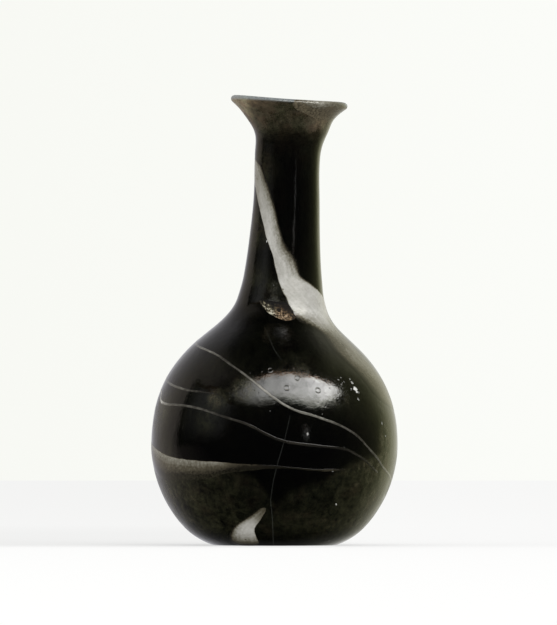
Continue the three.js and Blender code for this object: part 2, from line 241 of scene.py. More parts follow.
# The picture spans under two degrees either way, and the backdrop warms a trace across it.
picture_share = add_node(
    sky, "ShaderNodeMapRange", {"Value": parts["X"], "From Min": -0.03, "From Max": 0.03})
backdrop = add_node(
    sky, "ShaderNodeMix", {"Factor": picture_share, "A": backdrop_left, "B": backdrop_right},
    data_type="RGBA")
ray = add_node(sky, "ShaderNodeLightPath").node.outputs
bounced = add_node(
    sky, "ShaderNodeMix", {"Factor": ray["Is Glossy Ray"], "A": tent_white, "B": sweep},
    data_type="RGBA")
seen = add_node(
    sky, "ShaderNodeMix", {"Factor": ray["Is Camera Ray"], "A": bounced, "B": backdrop},
    data_type="RGBA")
glow = add_node(sky, "ShaderNodeBackground", {"Color": seen})
add_node(sky, "ShaderNodeOutputWorld", {"Surface": glow})
# Each ray then meets the world by its own bounce, so that its kind of ray is known.
world.cycles.sampling_method = "NONE"
print("world:", len(sky.nodes), "nodes")


# %% [markdown]
# ## Meshes from arrays
# Each piece is worked out as an array of rings: points round a closed loop, ring after ring.
# One function joins the rings with four-sided faces and closes both ends with a fan. It also
# stores values on the points, which the finishes read, so a pattern follows its surface.


# %% From rings to a piece
def flat(values):
    """Values of each ring's points, then the mean of the first and of the last ring."""
    values = np.asarray(values, float)
    ends = np.stack([values[0].mean(0), values[-1].mean(0)])
    return np.concatenate([values.reshape(-1, *values.shape[2:]), ends])


def piece_from_rings(name, rings, values=None):
    """Joins point j of ring i to its neighbours: (i, j), (i, j+1), (i+1, j+1), (i+1, j).
    Both end rings run to a middle point. Faces are turned to give the solid a plus volume."""
    rows, columns = rings.shape[:2]
    points = flat(rings) * millimetre
    near = np.arange(rows * columns).reshape(rows, columns)
    beside = np.roll(near, -1, axis=1)
    quads = np.stack([near[:-1], beside[:-1], beside[1:], near[1:]], -1).reshape(-1, 4)
    first, last = rows * columns, rows * columns + 1
    fans = np.concatenate([
        np.stack([beside[0], near[0], np.full(columns, first)], -1),
        np.stack([near[-1], beside[-1], np.full(columns, last)], -1)])
    triangles = np.concatenate([quads[:, [0, 1, 2]], quads[:, [0, 2, 3]], fans])
    a, b, c = points[triangles].transpose(1, 0, 2)
    if np.einsum("ij,ij->", np.cross(a, b), c) < 0:
        quads, fans = quads[:, ::-1], fans[:, ::-1]
    mesh = bpy.data.meshes.new(name)
    mesh.from_pydata(points.tolist(), [], quads.tolist() + fans.tolist())
    mesh.polygons.foreach_set("use_smooth", np.ones(len(mesh.polygons), bool))
    for label, numbers in (values or {}).items():
        attribute = mesh.attributes.new(label, "FLOAT", "POINT")
        attribute.data.foreach_set("value", flat(numbers))
    piece = bpy.data.objects.new(name, mesh)
    bpy.context.scene.collection.objects.link(piece)
    print(f"{name}: {len(triangles)} triangles")
    return piece


def dress(piece, node, material):
    """Makes a piece stand for its CAD node, with the record's slot and a finish."""
    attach(piece, "root")
    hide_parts(node)
    piece.data.materials.append(material)


# %% [markdown]
# ## The window and what stands beside it
# An area light could be the window, but the body mirrors it with bowed edges, bright at the
# right and dim at the left. So each light is a patch of a wide sphere round the bottle, whose
# outline is given as two heights at some bearings, with a strength for each. Only reflections
# see the patches. Matt surfaces are lit by a soft lamp at the right instead.

# %% Outlines of the lights
light_distance = 1500
light_centre = np.array([0, 0, 45])
# Bearing from the camera's side, + to the right, low edge and high edge, in degrees, and the
# strength at the low and at the high edge: what the body's reflection shows of the outlines.
window_edges = np.array([
    (-51, 35, 36, 0.1, 0.2), (-46, 34.5, 38, 0.4, 0.8), (-40, 33.5, 42, 0.8, 1.5),
    (-25, 29.5, 53.5, 2.6, 4.6), (-7, 30.5, 60.6, 4.6, 6.4), (5, 34, 62.2, 6.4, 6.8),
    (19, 32, 62.4, 8, 8), (37, 27.2, 60.6, 10.5, 10.5), (49, 26.5, 56, 13, 13),
    (60, 28.8, 50.5, 16, 16), (70, 31.5, 43, 18, 18), (78, 33, 35.5, 18, 18)])
wall_edges = np.array([
    (-102, -2, 36, 0, 0), (-90, -2, 36, 0.03, 0.14), (-78, -2, 37, 0.04, 0.3),
    (-66, -2, 38, 0.04, 0.5), (-54, -2, 35, 0.04, 0.4), (-44, 6, 30, 0.04, 0.14),
    (-34, 16, 28, 0, 0)])
gap_edges = np.array([(-93, 1, 13, 0.35, 0.35), (-88, 1, 13, 0.35, 0.35)])
side_light_edges = np.array([(28, -1, 11, 0.1, 1.0), (31, -1, 12, 0.1, 1.0)])
outlines = {
    "window": window_edges,
    "pale_wall": wall_edges,
    "door_gap": gap_edges,
    "side_light": side_light_edges,
}
print("window:", len(window_edges), "bearings")


# %% A patch of the sphere
def light_panel(name, edges, columns, rows):
    """A patch of a sphere round the bottle: bearing and height over the horizon give the
    direction, and a point is the centre plus that direction times the distance."""
    count = np.linspace(0, len(edges) - 1, columns)
    bearings, low, high, at_foot, at_top = (
        np.interp(count, np.arange(len(edges)), column) for column in edges.T)
    rise = np.linspace(0, 1, rows)[:, None]
    heights = np.radians(low + (high - low) * rise)
    bearings = np.radians(bearings) + 0 * rise
    directions = np.stack([
        np.sin(bearings) * np.cos(heights),
        -np.cos(bearings) * np.cos(heights),
        np.sin(heights)], -1)
    points = (light_centre + light_distance * directions) * millimetre
    index = np.arange(rows * columns).reshape(rows, columns)
    faces = np.stack([index[:-1, :-1], index[:-1, 1:], index[1:, 1:], index[1:, :-1]], -1)
    mesh = bpy.data.meshes.new(name)
    mesh.from_pydata(points.reshape(-1, 3).tolist(), [], faces.reshape(-1, 4).tolist())
    strength = at_foot + (at_top - at_foot) * rise
    for label, numbers in {"strength": strength, "rise": rise + 0 * bearings}.items():
        attribute = mesh.attributes.new(label, "FLOAT", "POINT")
        attribute.data.foreach_set("value", numbers.ravel())
    panel = bpy.data.objects.new(name, mesh)
    bpy.context.scene.collection.objects.link(panel)
    panel.visible_camera = panel.visible_diffuse = panel.visible_shadow = False
    print(f"{name}: {columns} by {rows} points")
    return panel


# %% Daylight on the patches
daylight = bpy.data.materials.new("daylight through a window")
daylight.use_nodes = True
panes = daylight.node_tree
panes.nodes.clear()
strength = add_node(panes, "ShaderNodeAttribute", attribute_name="strength").node.outputs["Fac"]
rise = add_node(panes, "ShaderNodeAttribute", attribute_name="rise").node.outputs["Fac"]
pane_colour = add_node(panes, "ShaderNodeValToRGB", {"Fac": rise}, stops=[
    (0.0, "#5A5A50"), (0.16, "#D0D0C8"), (0.28, "#F4F4F0"), (0.88, "#F4F4F2"),
    (0.94, "#B08858"), (1.0, "#4A2C14")])
# What stands outside the window dims it in patches of about 17 cm.
outdoors = add_node(panes, "ShaderNodeTexNoise", {
    "Vector": add_node(panes, "ShaderNodeTexCoord").node.outputs["Object"],
    "Scale": 6.0, "Detail": 6.0, "Roughness": 0.75})
dimmed = add_node(panes, "ShaderNodeMapRange", {
    "Value": outdoors, "From Min": 0.36, "From Max": 0.64, "To Min": 0.4, "To Max": 1.4})
patchy = add_node(panes, "ShaderNodeMath", {0: strength, 1: dimmed}, operation="MULTIPLY")
lamp = add_node(panes, "ShaderNodeEmission", {"Color": pane_colour, "Strength": patchy})
add_node(panes, "ShaderNodeOutputMaterial", {"Surface": lamp})
# Three points between two corners of an outline are enough to bow it, and the rows carry the
# shades from its low to its high edge.
panel_rows = 24
for name, edges in outlines.items():
    panel = light_panel(name, edges, 4 * len(edges) - 3, panel_rows)
    panel.data.materials.append(daylight)

# %% Soft key
key_data = bpy.data.lights.new("soft key", "AREA")
key_data.energy, key_data.size = 9, 1.2
key = bpy.data.objects.new("soft key", key_data)
key.location = (1.0, -1.6, 1.5)
key.rotation_euler = (aim - key.location).to_track_quat("-Z", "Y").to_euler()
key.visible_camera = key.visible_glossy = False
bpy.context.scene.collection.objects.link(key)
print("soft key:", key_data.energy, "W over", key_data.size, "m")

# %% [markdown]
# ## The form of the vessel
# A blown bottle is a turned form, so half of its section says almost all of it. The section
# runs from the kick under the base, round the body, up the neck and over the lip, and back
# down inside. A spline through a few shares gives the shoulder and neck, as in the CAD, and
# a running average takes out the spline's small kinks, which black gloss would show.

# %% Sizes of the vessel
body_radius = 32.9
body_centre = 27.2
rest_radius = 16.5
foot_rise, foot_aim = 4.5, 1.665
neck_rise, waist_radius = 74.8, 8.65
flare_rise, mouth_radius = 17.1, 15.55
flare_angle = np.radians(37)
body_wall, neck_wall, lip_thickness = 2.6, 2.2, 1.9
kick_radius, kick_depth = 10.5, 2.4
floor_height, floor_radius, floor_blend = 6.2, 14, 5
waist_height = body_centre + neck_rise
mouth_height = waist_height + flare_rise
round_body_angle = np.radians(5.4)

# [share of the radius from waist to body, share of the neck's rise]
shoulder_shares = np.array([
    (0.969, 0.107), (0.905, 0.178), (0.798, 0.25), (0.63, 0.321), (0.456, 0.374),
    (0.27, 0.428), (0.154, 0.481), (0.093, 0.552), (0.05, 0.659), (0.017, 0.802),
    (0.002, 0.92), (0, 1)])
# [share of the radius from waist to mouth, share of the flare's rise]
flare_shares = np.array([
    (0.043, 0.357), (0.158, 0.491), (0.295, 0.602), (0.446, 0.708), (0.64, 0.801)])
print(f"mouth at {mouth_height:.1f} mm")


# %% Curves
def smoothstep(value, low, high):
    """0 below low, 1 above high, and 3t^2 - 2t^3 between them."""
    t = np.clip((value - low) / (high - low), 0, 1)
    return t * t * (3 - 2 * t)


def spline(corners, count):
    """A curve through its corners, whose slope at each is half the step past it both ways."""
    corners = np.asarray(corners, float)
    place = np.linspace(0, len(corners) - 1, count)
    i = np.minimum(place.astype(int), len(corners) - 2)
    w = (place - i)[:, None]
    before, start = corners[np.maximum(i - 1, 0)], corners[i]
    end, after = corners[i + 1], corners[np.minimum(i + 2, len(corners) - 1)]
    return start + 0.5 * w * (end - before + w * (
        2 * before - 5 * start + 4 * end - after + w * (3 * (start - end) + after - before)))


def distances(path):
    """Length along a path up to each of its points."""
    return np.concatenate([[0], np.cumsum(np.linalg.norm(np.diff(path, axis=0), axis=1))])


def respaced(path, spacing, along=None):
    """The same path in even steps of a length, along itself unless it is told along what."""
    along = distances(path) if along is None else along
    places = np.linspace(0, along[-1], int(round(along[-1] / spacing)) + 1)
    return np.stack([np.interp(places, along, column) for column in path.T], -1)


def averaged(path, reach, spacing):
    """A running average with a bell of weights; past its ends the path is turned about them."""
    half = int(round(3 * reach / spacing))
    bell = np.exp(-0.5 * (np.arange(-half, half + 1) * spacing / reach) ** 2)
    longer = np.concatenate([
        2 * path[0] - path[half:0:-1], path, 2 * path[-1] - path[-2:-half - 2:-1]])
    return np.stack(
        [np.convolve(column, bell / bell.sum(), "valid") for column in longer.T], -1)


def arc(centre, radius, start, end, count):
    """Points on a circle: its centre plus the radius times cosine and sine of the angle."""
    angle = np.linspace(start, end, count)
    return np.array(centre) + radius * np.stack([np.cos(angle), np.sin(angle)], -1)


def pulled(start, aim, end, count):
    """A curve from start to end that leaves and arrives in line with the point it aims at."""
    t = np.linspace(0, 1, count)[:, None]
    return (1 - t) ** 2 * start + 2 * t * (1 - t) * aim + t ** 2 * end


print("a quarter up a smooth step:", smoothstep(0.25, 0, 1))

# %% Section of the outside
fine = 0.1
body_start = -np.arcsin((body_centre - foot_rise) / body_radius)
body = arc((0, body_centre), body_radius, body_start, round_body_angle, 300)
foot_aim_radius = body[0, 0] + (body[0, 1] - foot_aim) * np.tan(body_start)
foot = pulled(np.array([rest_radius, 0]), np.array([foot_aim_radius, foot_aim]), body[0], 60)
lip_radius = lip_thickness / 2
lip_centre = np.array([mouth_radius - lip_radius, mouth_height - lip_radius])
lip_start = flare_angle - np.pi / 2
lip = arc(lip_centre, lip_radius, lip_start, lip_start + np.pi, 60)
neck = spline(np.concatenate([
    body[-1:],
    [waist_radius, body_centre] + shoulder_shares * [body_radius - waist_radius, neck_rise],
    [waist_radius, waist_height] + flare_shares * [mouth_radius - waist_radius, flare_rise],
    lip[:1],
]), 1500)
side = np.concatenate([foot, body[1:], neck[1:]])
side = averaged(respaced(side, fine), 1.5, fine)
ring = np.linspace([kick_radius, 0], [rest_radius, 0], 40, endpoint=False)
outside = averaged(respaced(np.concatenate([ring, side, lip[1:]]), fine), 0.25, fine)
outside_along = distances(outside) - np.linalg.norm(ring[0] - side[0])
outside_slope = np.gradient(outside, outside_along, axis=0)
outside_slope /= np.linalg.norm(outside_slope, axis=1)[:, None]
lip_top = int(np.argmax(outside[:, 1]))
side_length = outside_along[-1] - np.pi * lip_radius
print(f"outside: {side_length:.1f} mm from foot to lip")


def along_at(height):
    """Distance up the outside from the edge of the foot to a height."""
    rising = slice(int(np.searchsorted(outside_along, 0)), lip_top)
    return np.interp(height, outside[rising, 1], outside_along[rising])


# %% [markdown]
# ## The hand of the maker
# The real bottle isn't a true turning. Its neck leans and wanders, its mouth tilts, and its
# wall swells and sinks by a few hundredths of a millimetre. A few slow cosines give the
# swelling, so that reflections waver as they do on blown glass. The body stays a ball, because
# it leans about its own centre.

# %% Lean and wander
lean_angle, mouth_tilt = np.radians(2.8), np.radians(1.2)
axis_offset = 0.5
# [height share of the bottle's, share of the wander, + towards +X]
wander_shares = np.array([
    (0, 0), (0.23, 0), (0.38, -0.5), (0.49, -1.1), (0.55, -0.3), (0.6, 0.1), (0.75, 0.2),
    (0.87, -0.5), (0.925, 0.6), (0.965, -0.8), (1, -1)])


def wander(height):
    """Drift of the axis, eased from row to row of its shares."""
    shares, drifts = wander_shares.T
    place = np.clip(height / mouth_height, 0, 1)
    i = np.clip(np.searchsorted(shares, place, side="right") - 1, 0, len(shares) - 2)
    ease = smoothstep(place, shares[i], shares[i + 1])
    return axis_offset * (drifts[i] + (drifts[i + 1] - drifts[i]) * ease)


def tipped(points, pivot, angle):
    """Points turned from +Z towards +X about a level line through the axis at a height."""
    x, z = points[..., 0], points[..., 2] - pivot
    return np.stack([
        x * np.cos(angle) + z * np.sin(angle),
        points[..., 1],
        pivot - x * np.sin(angle) + z * np.cos(angle)], -1)


def leaned(points):
    """The upright bottle's points where the leaning bottle has them."""
    height = points[..., 2]
    moved = points + np.stack([wander(height), 0 * height, 0 * height], -1)
    moved = tipped(
        moved, mouth_height, mouth_tilt * smoothstep(height, waist_height, mouth_height))
    return tipped(moved, body_centre, lean_angle * smoothstep(height, 0, body_centre))


print("the axis drifts by up to", np.round(np.abs(wander(np.arange(120.0))).max(), 2), "mm")

# %% Swell, dip and nip
body_swell, mouth_swell = 0.045, 0.04
rim_dip = 0.5
nip_height, nip_reach, nip_slope = 62.8, 4.2, 0.1


def swell(turn, height):
    """How far the wall stands out: cosines of 2, 3, 4 and 1 waves round it that twist as they
    rise, less at the foot and more at the mouth."""
    size = (body_swell * smoothstep(height, 0, 10)
            + mouth_swell * smoothstep(height, waist_height, mouth_height))
    waves = (0.5 * np.cos(2 * turn + 0.8 + height / 60) + 0.3 * np.cos(3 * turn - height / 13)
             + 0.2 * np.cos(4 * turn + height / 9) + 0.2 * np.cos(turn + height / 5.5))
    return size * waves


def nip(height):
    """The dent that the tongs left at the front of the neck's root: its wall stands out above
    a height and back below it, as u times the bell of u, and comes forward again by the foot."""
    u = np.maximum((height - nip_height) / nip_reach, -1)
    return nip_slope * nip_reach * u * np.exp(-0.5 * u ** 2) * smoothstep(height, 0, 45)


def placed(turn, radius, height):
    """A point of the bottle: radius, swell and nip out from the axis at a turn, the rim dipped
    a little at the front, then leaned."""
    front = np.maximum(np.cos(turn), 0) ** 2
    out = radius + swell(turn, height) * np.minimum(1, radius / waist_radius) + front * nip(height)
    dip = rim_dip * front * smoothstep(height, mouth_height - 6, mouth_height)
    return leaned(np.stack([out * np.sin(turn), -out * np.cos(turn), height - dip], -1))


def on_outside(turn, along, proud=0.0):
    """The outside wall at a turn and a distance up it, moved outwards by a height."""
    radius, height = (np.interp(along, outside_along, column) for column in outside.T)
    out, up = (np.interp(along, outside_along, column) for column in outside_slope.T)
    return placed(turn, radius + proud * up, height - proud * out)


def on_skin(turn_share, height_share):
    """The outside wall at a share of a turn and of the height, as numbers for a node."""
    spot = on_outside(2 * np.pi * turn_share, along_at(height_share * mouth_height))
    return tuple(float(v) for v in spot)


print("lean moves the mouth to x =", round(float(on_outside(0, side_length)[0]), 2), "mm")

# %% [markdown]
# ## Black glass
# The vessel is soda-lime glass so full of iron and manganese that it looks black, blown and
# finished in the fire. Fire polish gives the eye a deep black with clear reflections. Age gave
# it a brown-olive film, thick on the flare, thin on the body, with pits and a few white specks.
# The colour also paints light: a painted reflection of the table above the foot, a painted
# sheen at the sides, painted glints among the specks, and a painted highlight on the lip.
# Solid glass would cost light paths and show nothing, because no light comes through, so the
# finish is an opaque gloss over a nearly black colour. Its patterns read object coordinates,
# scaled so that one unit is a millimetre.

# %% Black glass: patterns
black_glass, tree, shader = new_finish("blown black glass")
shader.inputs["IOR"].default_value = 1.52
point = point_in_millimetres(tree)
place = add_node(tree, "ShaderNodeSeparateXYZ", {0: point}).node.outputs
# The film lies in clouds of about 9 mm and mottles of about 1.3 mm, and runs down the wall in
# streaks of about 2 mm.
clouds = add_node(tree, "ShaderNodeTexNoise", {
    "Vector": point, "Scale": 0.11, "Detail": 6.0, "Roughness": 0.65})
mottles = add_node(tree, "ShaderNodeTexNoise", {
    "Vector": point, "Scale": 0.75, "Detail": 4.0, "Roughness": 0.6})
drawn_out = add_node(
    tree, "ShaderNodeVectorMath", {0: point, 1: (1, 1, 0.15)}, operation="MULTIPLY")
streaks = add_node(tree, "ShaderNodeTexNoise", {
    "Vector": drawn_out, "Scale": 0.45, "Detail": 4.0, "Roughness": 0.6})
cloud_share = add_node(tree, "ShaderNodeMapRange", {
    "Value": clouds, "From Min": 0.35, "From Max": 0.65, "To Min": 0.6, "To Max": 1.4})
mottle_share = add_node(tree, "ShaderNodeMapRange", {
    "Value": mottles, "From Min": 0.34, "From Max": 0.66, "To Min": 0.62, "To Max": 1.38})
streak_share = add_node(tree, "ShaderNodeMapRange", {
    "Value": streaks, "From Min": 0.35, "From Max": 0.65, "To Min": 0.75, "To Max": 1.25})
print("patterns of the film:", len(tree.nodes), "nodes")

# %% Black glass: where the film lies
# How much film each height holds: next to none round the middle, some on the shoulder, and
# most under the lip, whose ledge kept the dirt.
film_by_height = add_node(
    tree, "ShaderNodeMapRange", {"Value": place["Z"], "From Min": 0.0, "From Max": mouth_height})
film_zone = add_node(tree, "ShaderNodeValToRGB", {"Fac": film_by_height}, stops=[
    (0.0, 0.0), (0.04, 0.08), (0.09, 0.03), (0.165, 0.02), (0.2, 0.01), (0.26, 0.02), (0.3, 0.06),
    (0.35, 0.06), (0.4, 0.1), (0.5, 0.06), (0.58, 0.06), (0.8, 0.05), (0.85, 0.08), (0.9, 0.14),
    (0.918, 0.35), (0.935, 0.8), (0.965, 0.86), (1.0, 1.0)])
# The olive band round the foot is a painted reflection of the table. Its top edge climbs to both
# sides: [X in mm, height in mm].
reflection_edge_side, reflection_edge_top = 33.0, 30.0
reflection_edge_points = np.array([
    (-33, 21), (-12, 20.5), (-5, 18), (-2, 14), (0.3, 10.7), (4, 14), (10, 16.5), (15, 18.7),
    (20, 21.3), (27, 24), (33, 25)])
left_right_share = add_node(tree, "ShaderNodeMapRange", {
    "Value": place["X"], "From Min": -reflection_edge_side, "From Max": reflection_edge_side})
reflection_edge_share = add_node(tree, "ShaderNodeValToRGB", {"Fac": left_right_share}, stops=[
    ((x + reflection_edge_side) / (2 * reflection_edge_side), level / reflection_edge_top) for x, level in reflection_edge_points])
reflection_edge = add_node(tree, "ShaderNodeMath", {0: reflection_edge_share, 1: reflection_edge_top}, operation="MULTIPLY")
over_reflection_edge = add_node(tree, "ShaderNodeMath", {0: place["Z"], 1: reflection_edge}, operation="SUBTRACT")
# Painted reflection of the table: olive colour below that edge.
painted_table_reflection = add_node(tree, "ShaderNodeMapRange", {
    "Value": over_reflection_edge, "From Min": -1.5, "From Max": 1.5, "To Min": 0.17, "To Max": 0.0},
    interpolation_type="SMOOTHSTEP")
film_and_reflection_zones = add_node(tree, "ShaderNodeMath", {0: film_zone, 1: painted_table_reflection}, operation="ADD")
print("tide line:", len(reflection_edge_points), "points")

# %% Black glass: film, painted sheen and painted reflection across, and patches
# The film is painted thinner down the middle of the front and heavier towards both sides, partly
# film and partly a painted sheen where the round turns away. On the flare it is heaviest at the
# left, partly a painted reflection along that edge, and thinnest a little right of the middle.
# Shares run from the left to the right.
film_and_sheen_across = add_node(tree, "ShaderNodeValToRGB", {"Fac": left_right_share}, stops=[
    (0.1, 1.4), (0.2, 0.9), (0.42, 0.5), (0.55, 0.45), (0.8, 0.9), (0.95, 1.5)])
flare_place = add_node(tree, "ShaderNodeMapRange", {
    "Value": place["X"], "From Min": -12.0, "From Max": 18.0})
flare_film_and_reflection = add_node(tree, "ShaderNodeValToRGB", {"Fac": flare_place}, stops=[
    (0.13, 1.0), (0.19, 0.8), (0.25, 0.6), (0.37, 0.38), (0.58, 0.3), (0.68, 0.52),
    (0.76, 0.62), (1.0, 0.7)])
above_neck = add_node(tree, "ShaderNodeMapRange", {
    "Value": place["Z"], "From Min": 60.0, "From Max": 100.0})
side_share = add_node(tree, "ShaderNodeMix", {
    "Factor": above_neck, "A": film_and_sheen_across, "B": flare_film_and_reflection}, data_type="FLOAT")
# A few larger patches: [share of a turn, height share, radius in mm, film].
film_patches = [
    (-0.095, 0.27, 4, 0.14), (-0.082, 0.322, 3.6, 0.3), (-0.045, 0.345, 4.5, 0.4),
    (-0.17, 0.2, 5, 0.1), (-0.21, 0.28, 8, 0.2), (0.025, 0.4, 6, 0.16),
    (0.09, 0.34, 4.5, 0.1), (0.18, 0.25, 6, 0.16), (-0.11, 0.6, 5.5, 0.16),
    (-0.02, 0.56, 4.5, 0.26), (-0.17, 0.84, 7, 0.25), (-0.17, 0.7, 7, 0.3)]
for turn_share, height_share, size, thick in film_patches:
    away = add_node(tree, "ShaderNodeVectorMath", {
        0: point, 1: on_skin(turn_share, height_share)}, operation="DISTANCE")
    patch = add_node(tree, "ShaderNodeMapRange", {
        "Value": away, "From Min": 0.3 * size, "From Max": 1.2 * size,
        "To Min": thick, "To Max": 0.0}, interpolation_type="SMOOTHSTEP")
    film_and_reflection_zones = add_node(tree, "ShaderNodeMath", {0: film_and_reflection_zones, 1: patch}, operation="ADD")
print("film:", len(film_patches), "larger patches")

# %% Black glass: shades of the film
# Thick film covers more evenly, and the wall's turn under the foot holds little.
spread = add_node(tree, "ShaderNodeMath", {0: cloud_share, 1: -2.0}, operation="ADD")
for share in (mottle_share, streak_share):
    spread = add_node(tree, "ShaderNodeMath", {0: spread, 1: share}, operation="ADD")
evenness = add_node(tree, "ShaderNodeMapRange", {
    "Value": film_zone, "From Min": 0.1, "From Max": 0.8, "To Min": 0.0, "To Max": 0.5})
evened = add_node(
    tree, "ShaderNodeMix", {"Factor": evenness, "A": spread, "B": 1.0}, data_type="FLOAT")
by_foot = add_node(tree, "ShaderNodeMapRange", {
    "Value": place["Z"], "From Min": 0.0, "From Max": 6.0, "To Min": 0.45, "To Max": 1.0})
film_and_painted_light = film_and_reflection_zones
for share in (evened, side_share, by_foot):
    film_and_painted_light = add_node(tree, "ShaderNodeMath", {0: film_and_painted_light, 1: share}, operation="MULTIPLY")
# Thin film lets the black show through and looks brown, thick film looks like dry clay.
# The same shades also paint the table's reflection above the foot and the sheen at the sides.
film_and_painted_light_colour = add_node(tree, "ShaderNodeValToRGB", {"Fac": film_and_painted_light}, stops=[
    (0.0, "#020203"), (0.1, "#11110D"), (0.25, "#27261C"), (0.5, "#4A4538"),
    (0.75, "#6B6450"), (1.0, "#8E8671")])
# Its tint drifts from reddish to olive over about 4 mm, and is redder on the flare.
drift = add_node(tree, "ShaderNodeTexNoise", {"Vector": point, "Scale": 0.25, "Detail": 3.0})
redder = add_node(tree, "ShaderNodeMapRange", {
    "Value": film_by_height, "From Min": 0.6, "From Max": 0.92, "To Min": 0.13, "To Max": -0.07})
drifted = add_node(tree, "ShaderNodeMath", {0: drift, 1: redder}, operation="ADD")
tint = add_node(tree, "ShaderNodeValToRGB", {"Fac": drifted}, stops=[
    (0.36, "#FCE8DA"), (0.5, "#F8F1E2"), (0.64, "#F0F5E0")])
tinted = add_node(tree, "ShaderNodeMix", {
    "Factor": 1.0, "A": film_and_painted_light_colour, "B": tint}, data_type="RGBA", blend_type="MULTIPLY")
print("shades of the film:", len(tree.nodes), "nodes")

# %% Black glass: worn lip and grain
# The lip's top millimetre is painted pale bluish grey, partly wear and partly a painted highlight
# along the rim, on a plane that tips as the mouth does.
lip_fall = 0.071
lip_pale_start, lip_pale_full = 117.7, 118.5
over_lip = add_node(tree, "ShaderNodeMath", {
    0: place["X"], 1: lip_fall, 2: place["Z"]}, operation="MULTIPLY_ADD")
lip_wear_and_highlight = add_node(tree, "ShaderNodeMapRange", {
    "Value": over_lip, "From Min": lip_pale_start, "From Max": lip_pale_full,
    "To Min": 0.0, "To Max": 0.8}, interpolation_type="SMOOTHSTEP")
lip_wear_and_highlight_colour = add_node(tree, "ShaderNodeMix", {
    "Factor": lip_wear_and_highlight, "A": tinted, "B": "#8B9294"}, data_type="RGBA")
# Dust and etching. Real grains are a few hundredths of a millimetre, too fine for a picture
# whose pixels are a quarter of one, so they are drawn a third of a millimetre across.
grain = add_node(tree, "ShaderNodeTexNoise", {"Vector": point, "Scale": 3.2, "Detail": 2.0})
grain_share = add_node(tree, "ShaderNodeMapRange", {
    "Value": grain, "From Min": 0.3, "From Max": 0.75, "To Min": 0.6, "To Max": 1.5})
glass_colour = add_node(tree, "ShaderNodeMix", {
    "Factor": 1.0, "A": lip_wear_and_highlight_colour, "B": grain_share}, data_type="RGBA", blend_type="MULTIPLY")
print("worn lip from", lip_pale_start, "mm up")

# %% [markdown]
# ## Chips, specks and scratches
# Small chips and grains of lime show as white specks, and some specks are painted glints where the
# chips catch the light. The largest, on the right shoulder, is a bruise with splinters round it,
# and its white is partly a painted highlight. Each is placed on the skin one by one, as a ball
# round its point, and a noise shakes its outline. Two long scratches follow a line of X against
# height down the front.

# %% Specks
# White specks, partly grains and chips and partly painted glints.
# [share of a turn, height share of the bottle's, radius in mm, brightness]
specks_and_glints = [
    (0.125, 0.357, 0.72, 1.0), (0.1265, 0.352, 0.45, 0.9), (0.122, 0.371, 0.42, 0.5),
    (0.1205, 0.379, 0.34, 0.4), (0.1165, 0.356, 0.34, 0.6), (0.13, 0.349, 0.3, 0.3),
    (0.126, 0.335, 0.34, 0.4), (0.097, 0.376, 0.34, 0.34), (0.103, 0.381, 0.26, 0.3),
    (0.101, 0.366, 0.3, 0.28), (0.107, 0.372, 0.22, 0.26), (0.043, 0.252, 0.42, 0.5),
    (0.095, 0.224, 0.26, 0.36), (0.082, 0.172, 0.26, 0.36), (0.098, 0.096, 0.3, 0.8),
    (0.17, 0.284, 0.4, 0.32), (0.177, 0.257, 0.34, 0.3), (-0.083, 0.679, 0.4, 1.0)]
shake = add_node(tree, "ShaderNodeTexNoise", {
    "Vector": point, "Scale": 1.5, "Detail": 3.0}).node.outputs["Color"]
shaken = add_node(tree, "ShaderNodeVectorMath", {0: shake, 1: (0.5,) * 3}, operation="SUBTRACT")
shaken_point = add_node(tree, "ShaderNodeVectorMath", {
    0: shaken, 1: (1.3,) * 3, 2: point}, operation="MULTIPLY_ADD")
for turn_share, height_share, size, bright in specks_and_glints:
    away = add_node(tree, "ShaderNodeVectorMath", {
        0: shaken_point, 1: on_skin(turn_share, height_share)}, operation="DISTANCE")
    share = add_node(tree, "ShaderNodeMapRange", {
        "Value": away, "From Min": 0.5 * size, "From Max": 1.1 * size,
        "To Min": bright, "To Max": 0.0}, interpolation_type="SMOOTHSTEP")
    glass_colour = add_node(tree, "ShaderNodeMix", {
        "Factor": share, "A": glass_colour, "B": "#E4E4E0"}, data_type="RGBA")
print(len(specks_and_glints), "specks_and_glints")

# %% Scratches
# [height in mm, X in mm, strength]: the first runs from the foot to mid height, the second is
# short and lies on the shoulder.
scratch_rows = np.array([
    (0, -0.26, 0.45), (6.9, -0.52, 0.5), (12.2, -1.04, 0.4), (17.5, -0.25, 0.35),
    (22.7, 1.07, 0.4), (28, 2.65, 0.35), (33.8, 4.0, 0.35), (34.8, 4.1, 0), (48.8, 2.1, 0),
    (49.8, 1.4, 0.35), (51.8, 0, 0.45), (53.9, -0.9, 0.35), (56.3, -1.84, 0.2), (57.5, -2.2, 0)])
scratch_side, scratch_top = 5.0, 60.0
scratch_place = add_node(tree, "ShaderNodeMapRange", {
    "Value": place["Z"], "From Min": 0.0, "From Max": scratch_top})
scratch_line = add_node(tree, "ShaderNodeValToRGB", {"Fac": scratch_place}, stops=[
    (height / scratch_top, (x + scratch_side) / (2 * scratch_side))
    for height, x, depth in scratch_rows])
scratch_depth = add_node(tree, "ShaderNodeValToRGB", {"Fac": scratch_place}, stops=[
    (height / scratch_top, depth) for height, x, depth in scratch_rows])
scratch_x = add_node(tree, "ShaderNodeMapRange", {
    "Value": scratch_line, "To Min": -scratch_side, "To Max": scratch_side})
aside = add_node(tree, "ShaderNodeMath", {0: place["X"], 1: scratch_x}, operation="SUBTRACT")
from_scratch = add_node(tree, "ShaderNodeMath", {0: aside}, operation="ABSOLUTE")
in_front = add_node(tree, "ShaderNodeMath", {0: place["Y"], 1: 0.0}, operation="LESS_THAN")
scratched = add_node(tree, "ShaderNodeMapRange", {
    "Value": from_scratch, "From Min": 0.04, "From Max": 0.18, "To Min": 0.45, "To Max": 0.0})
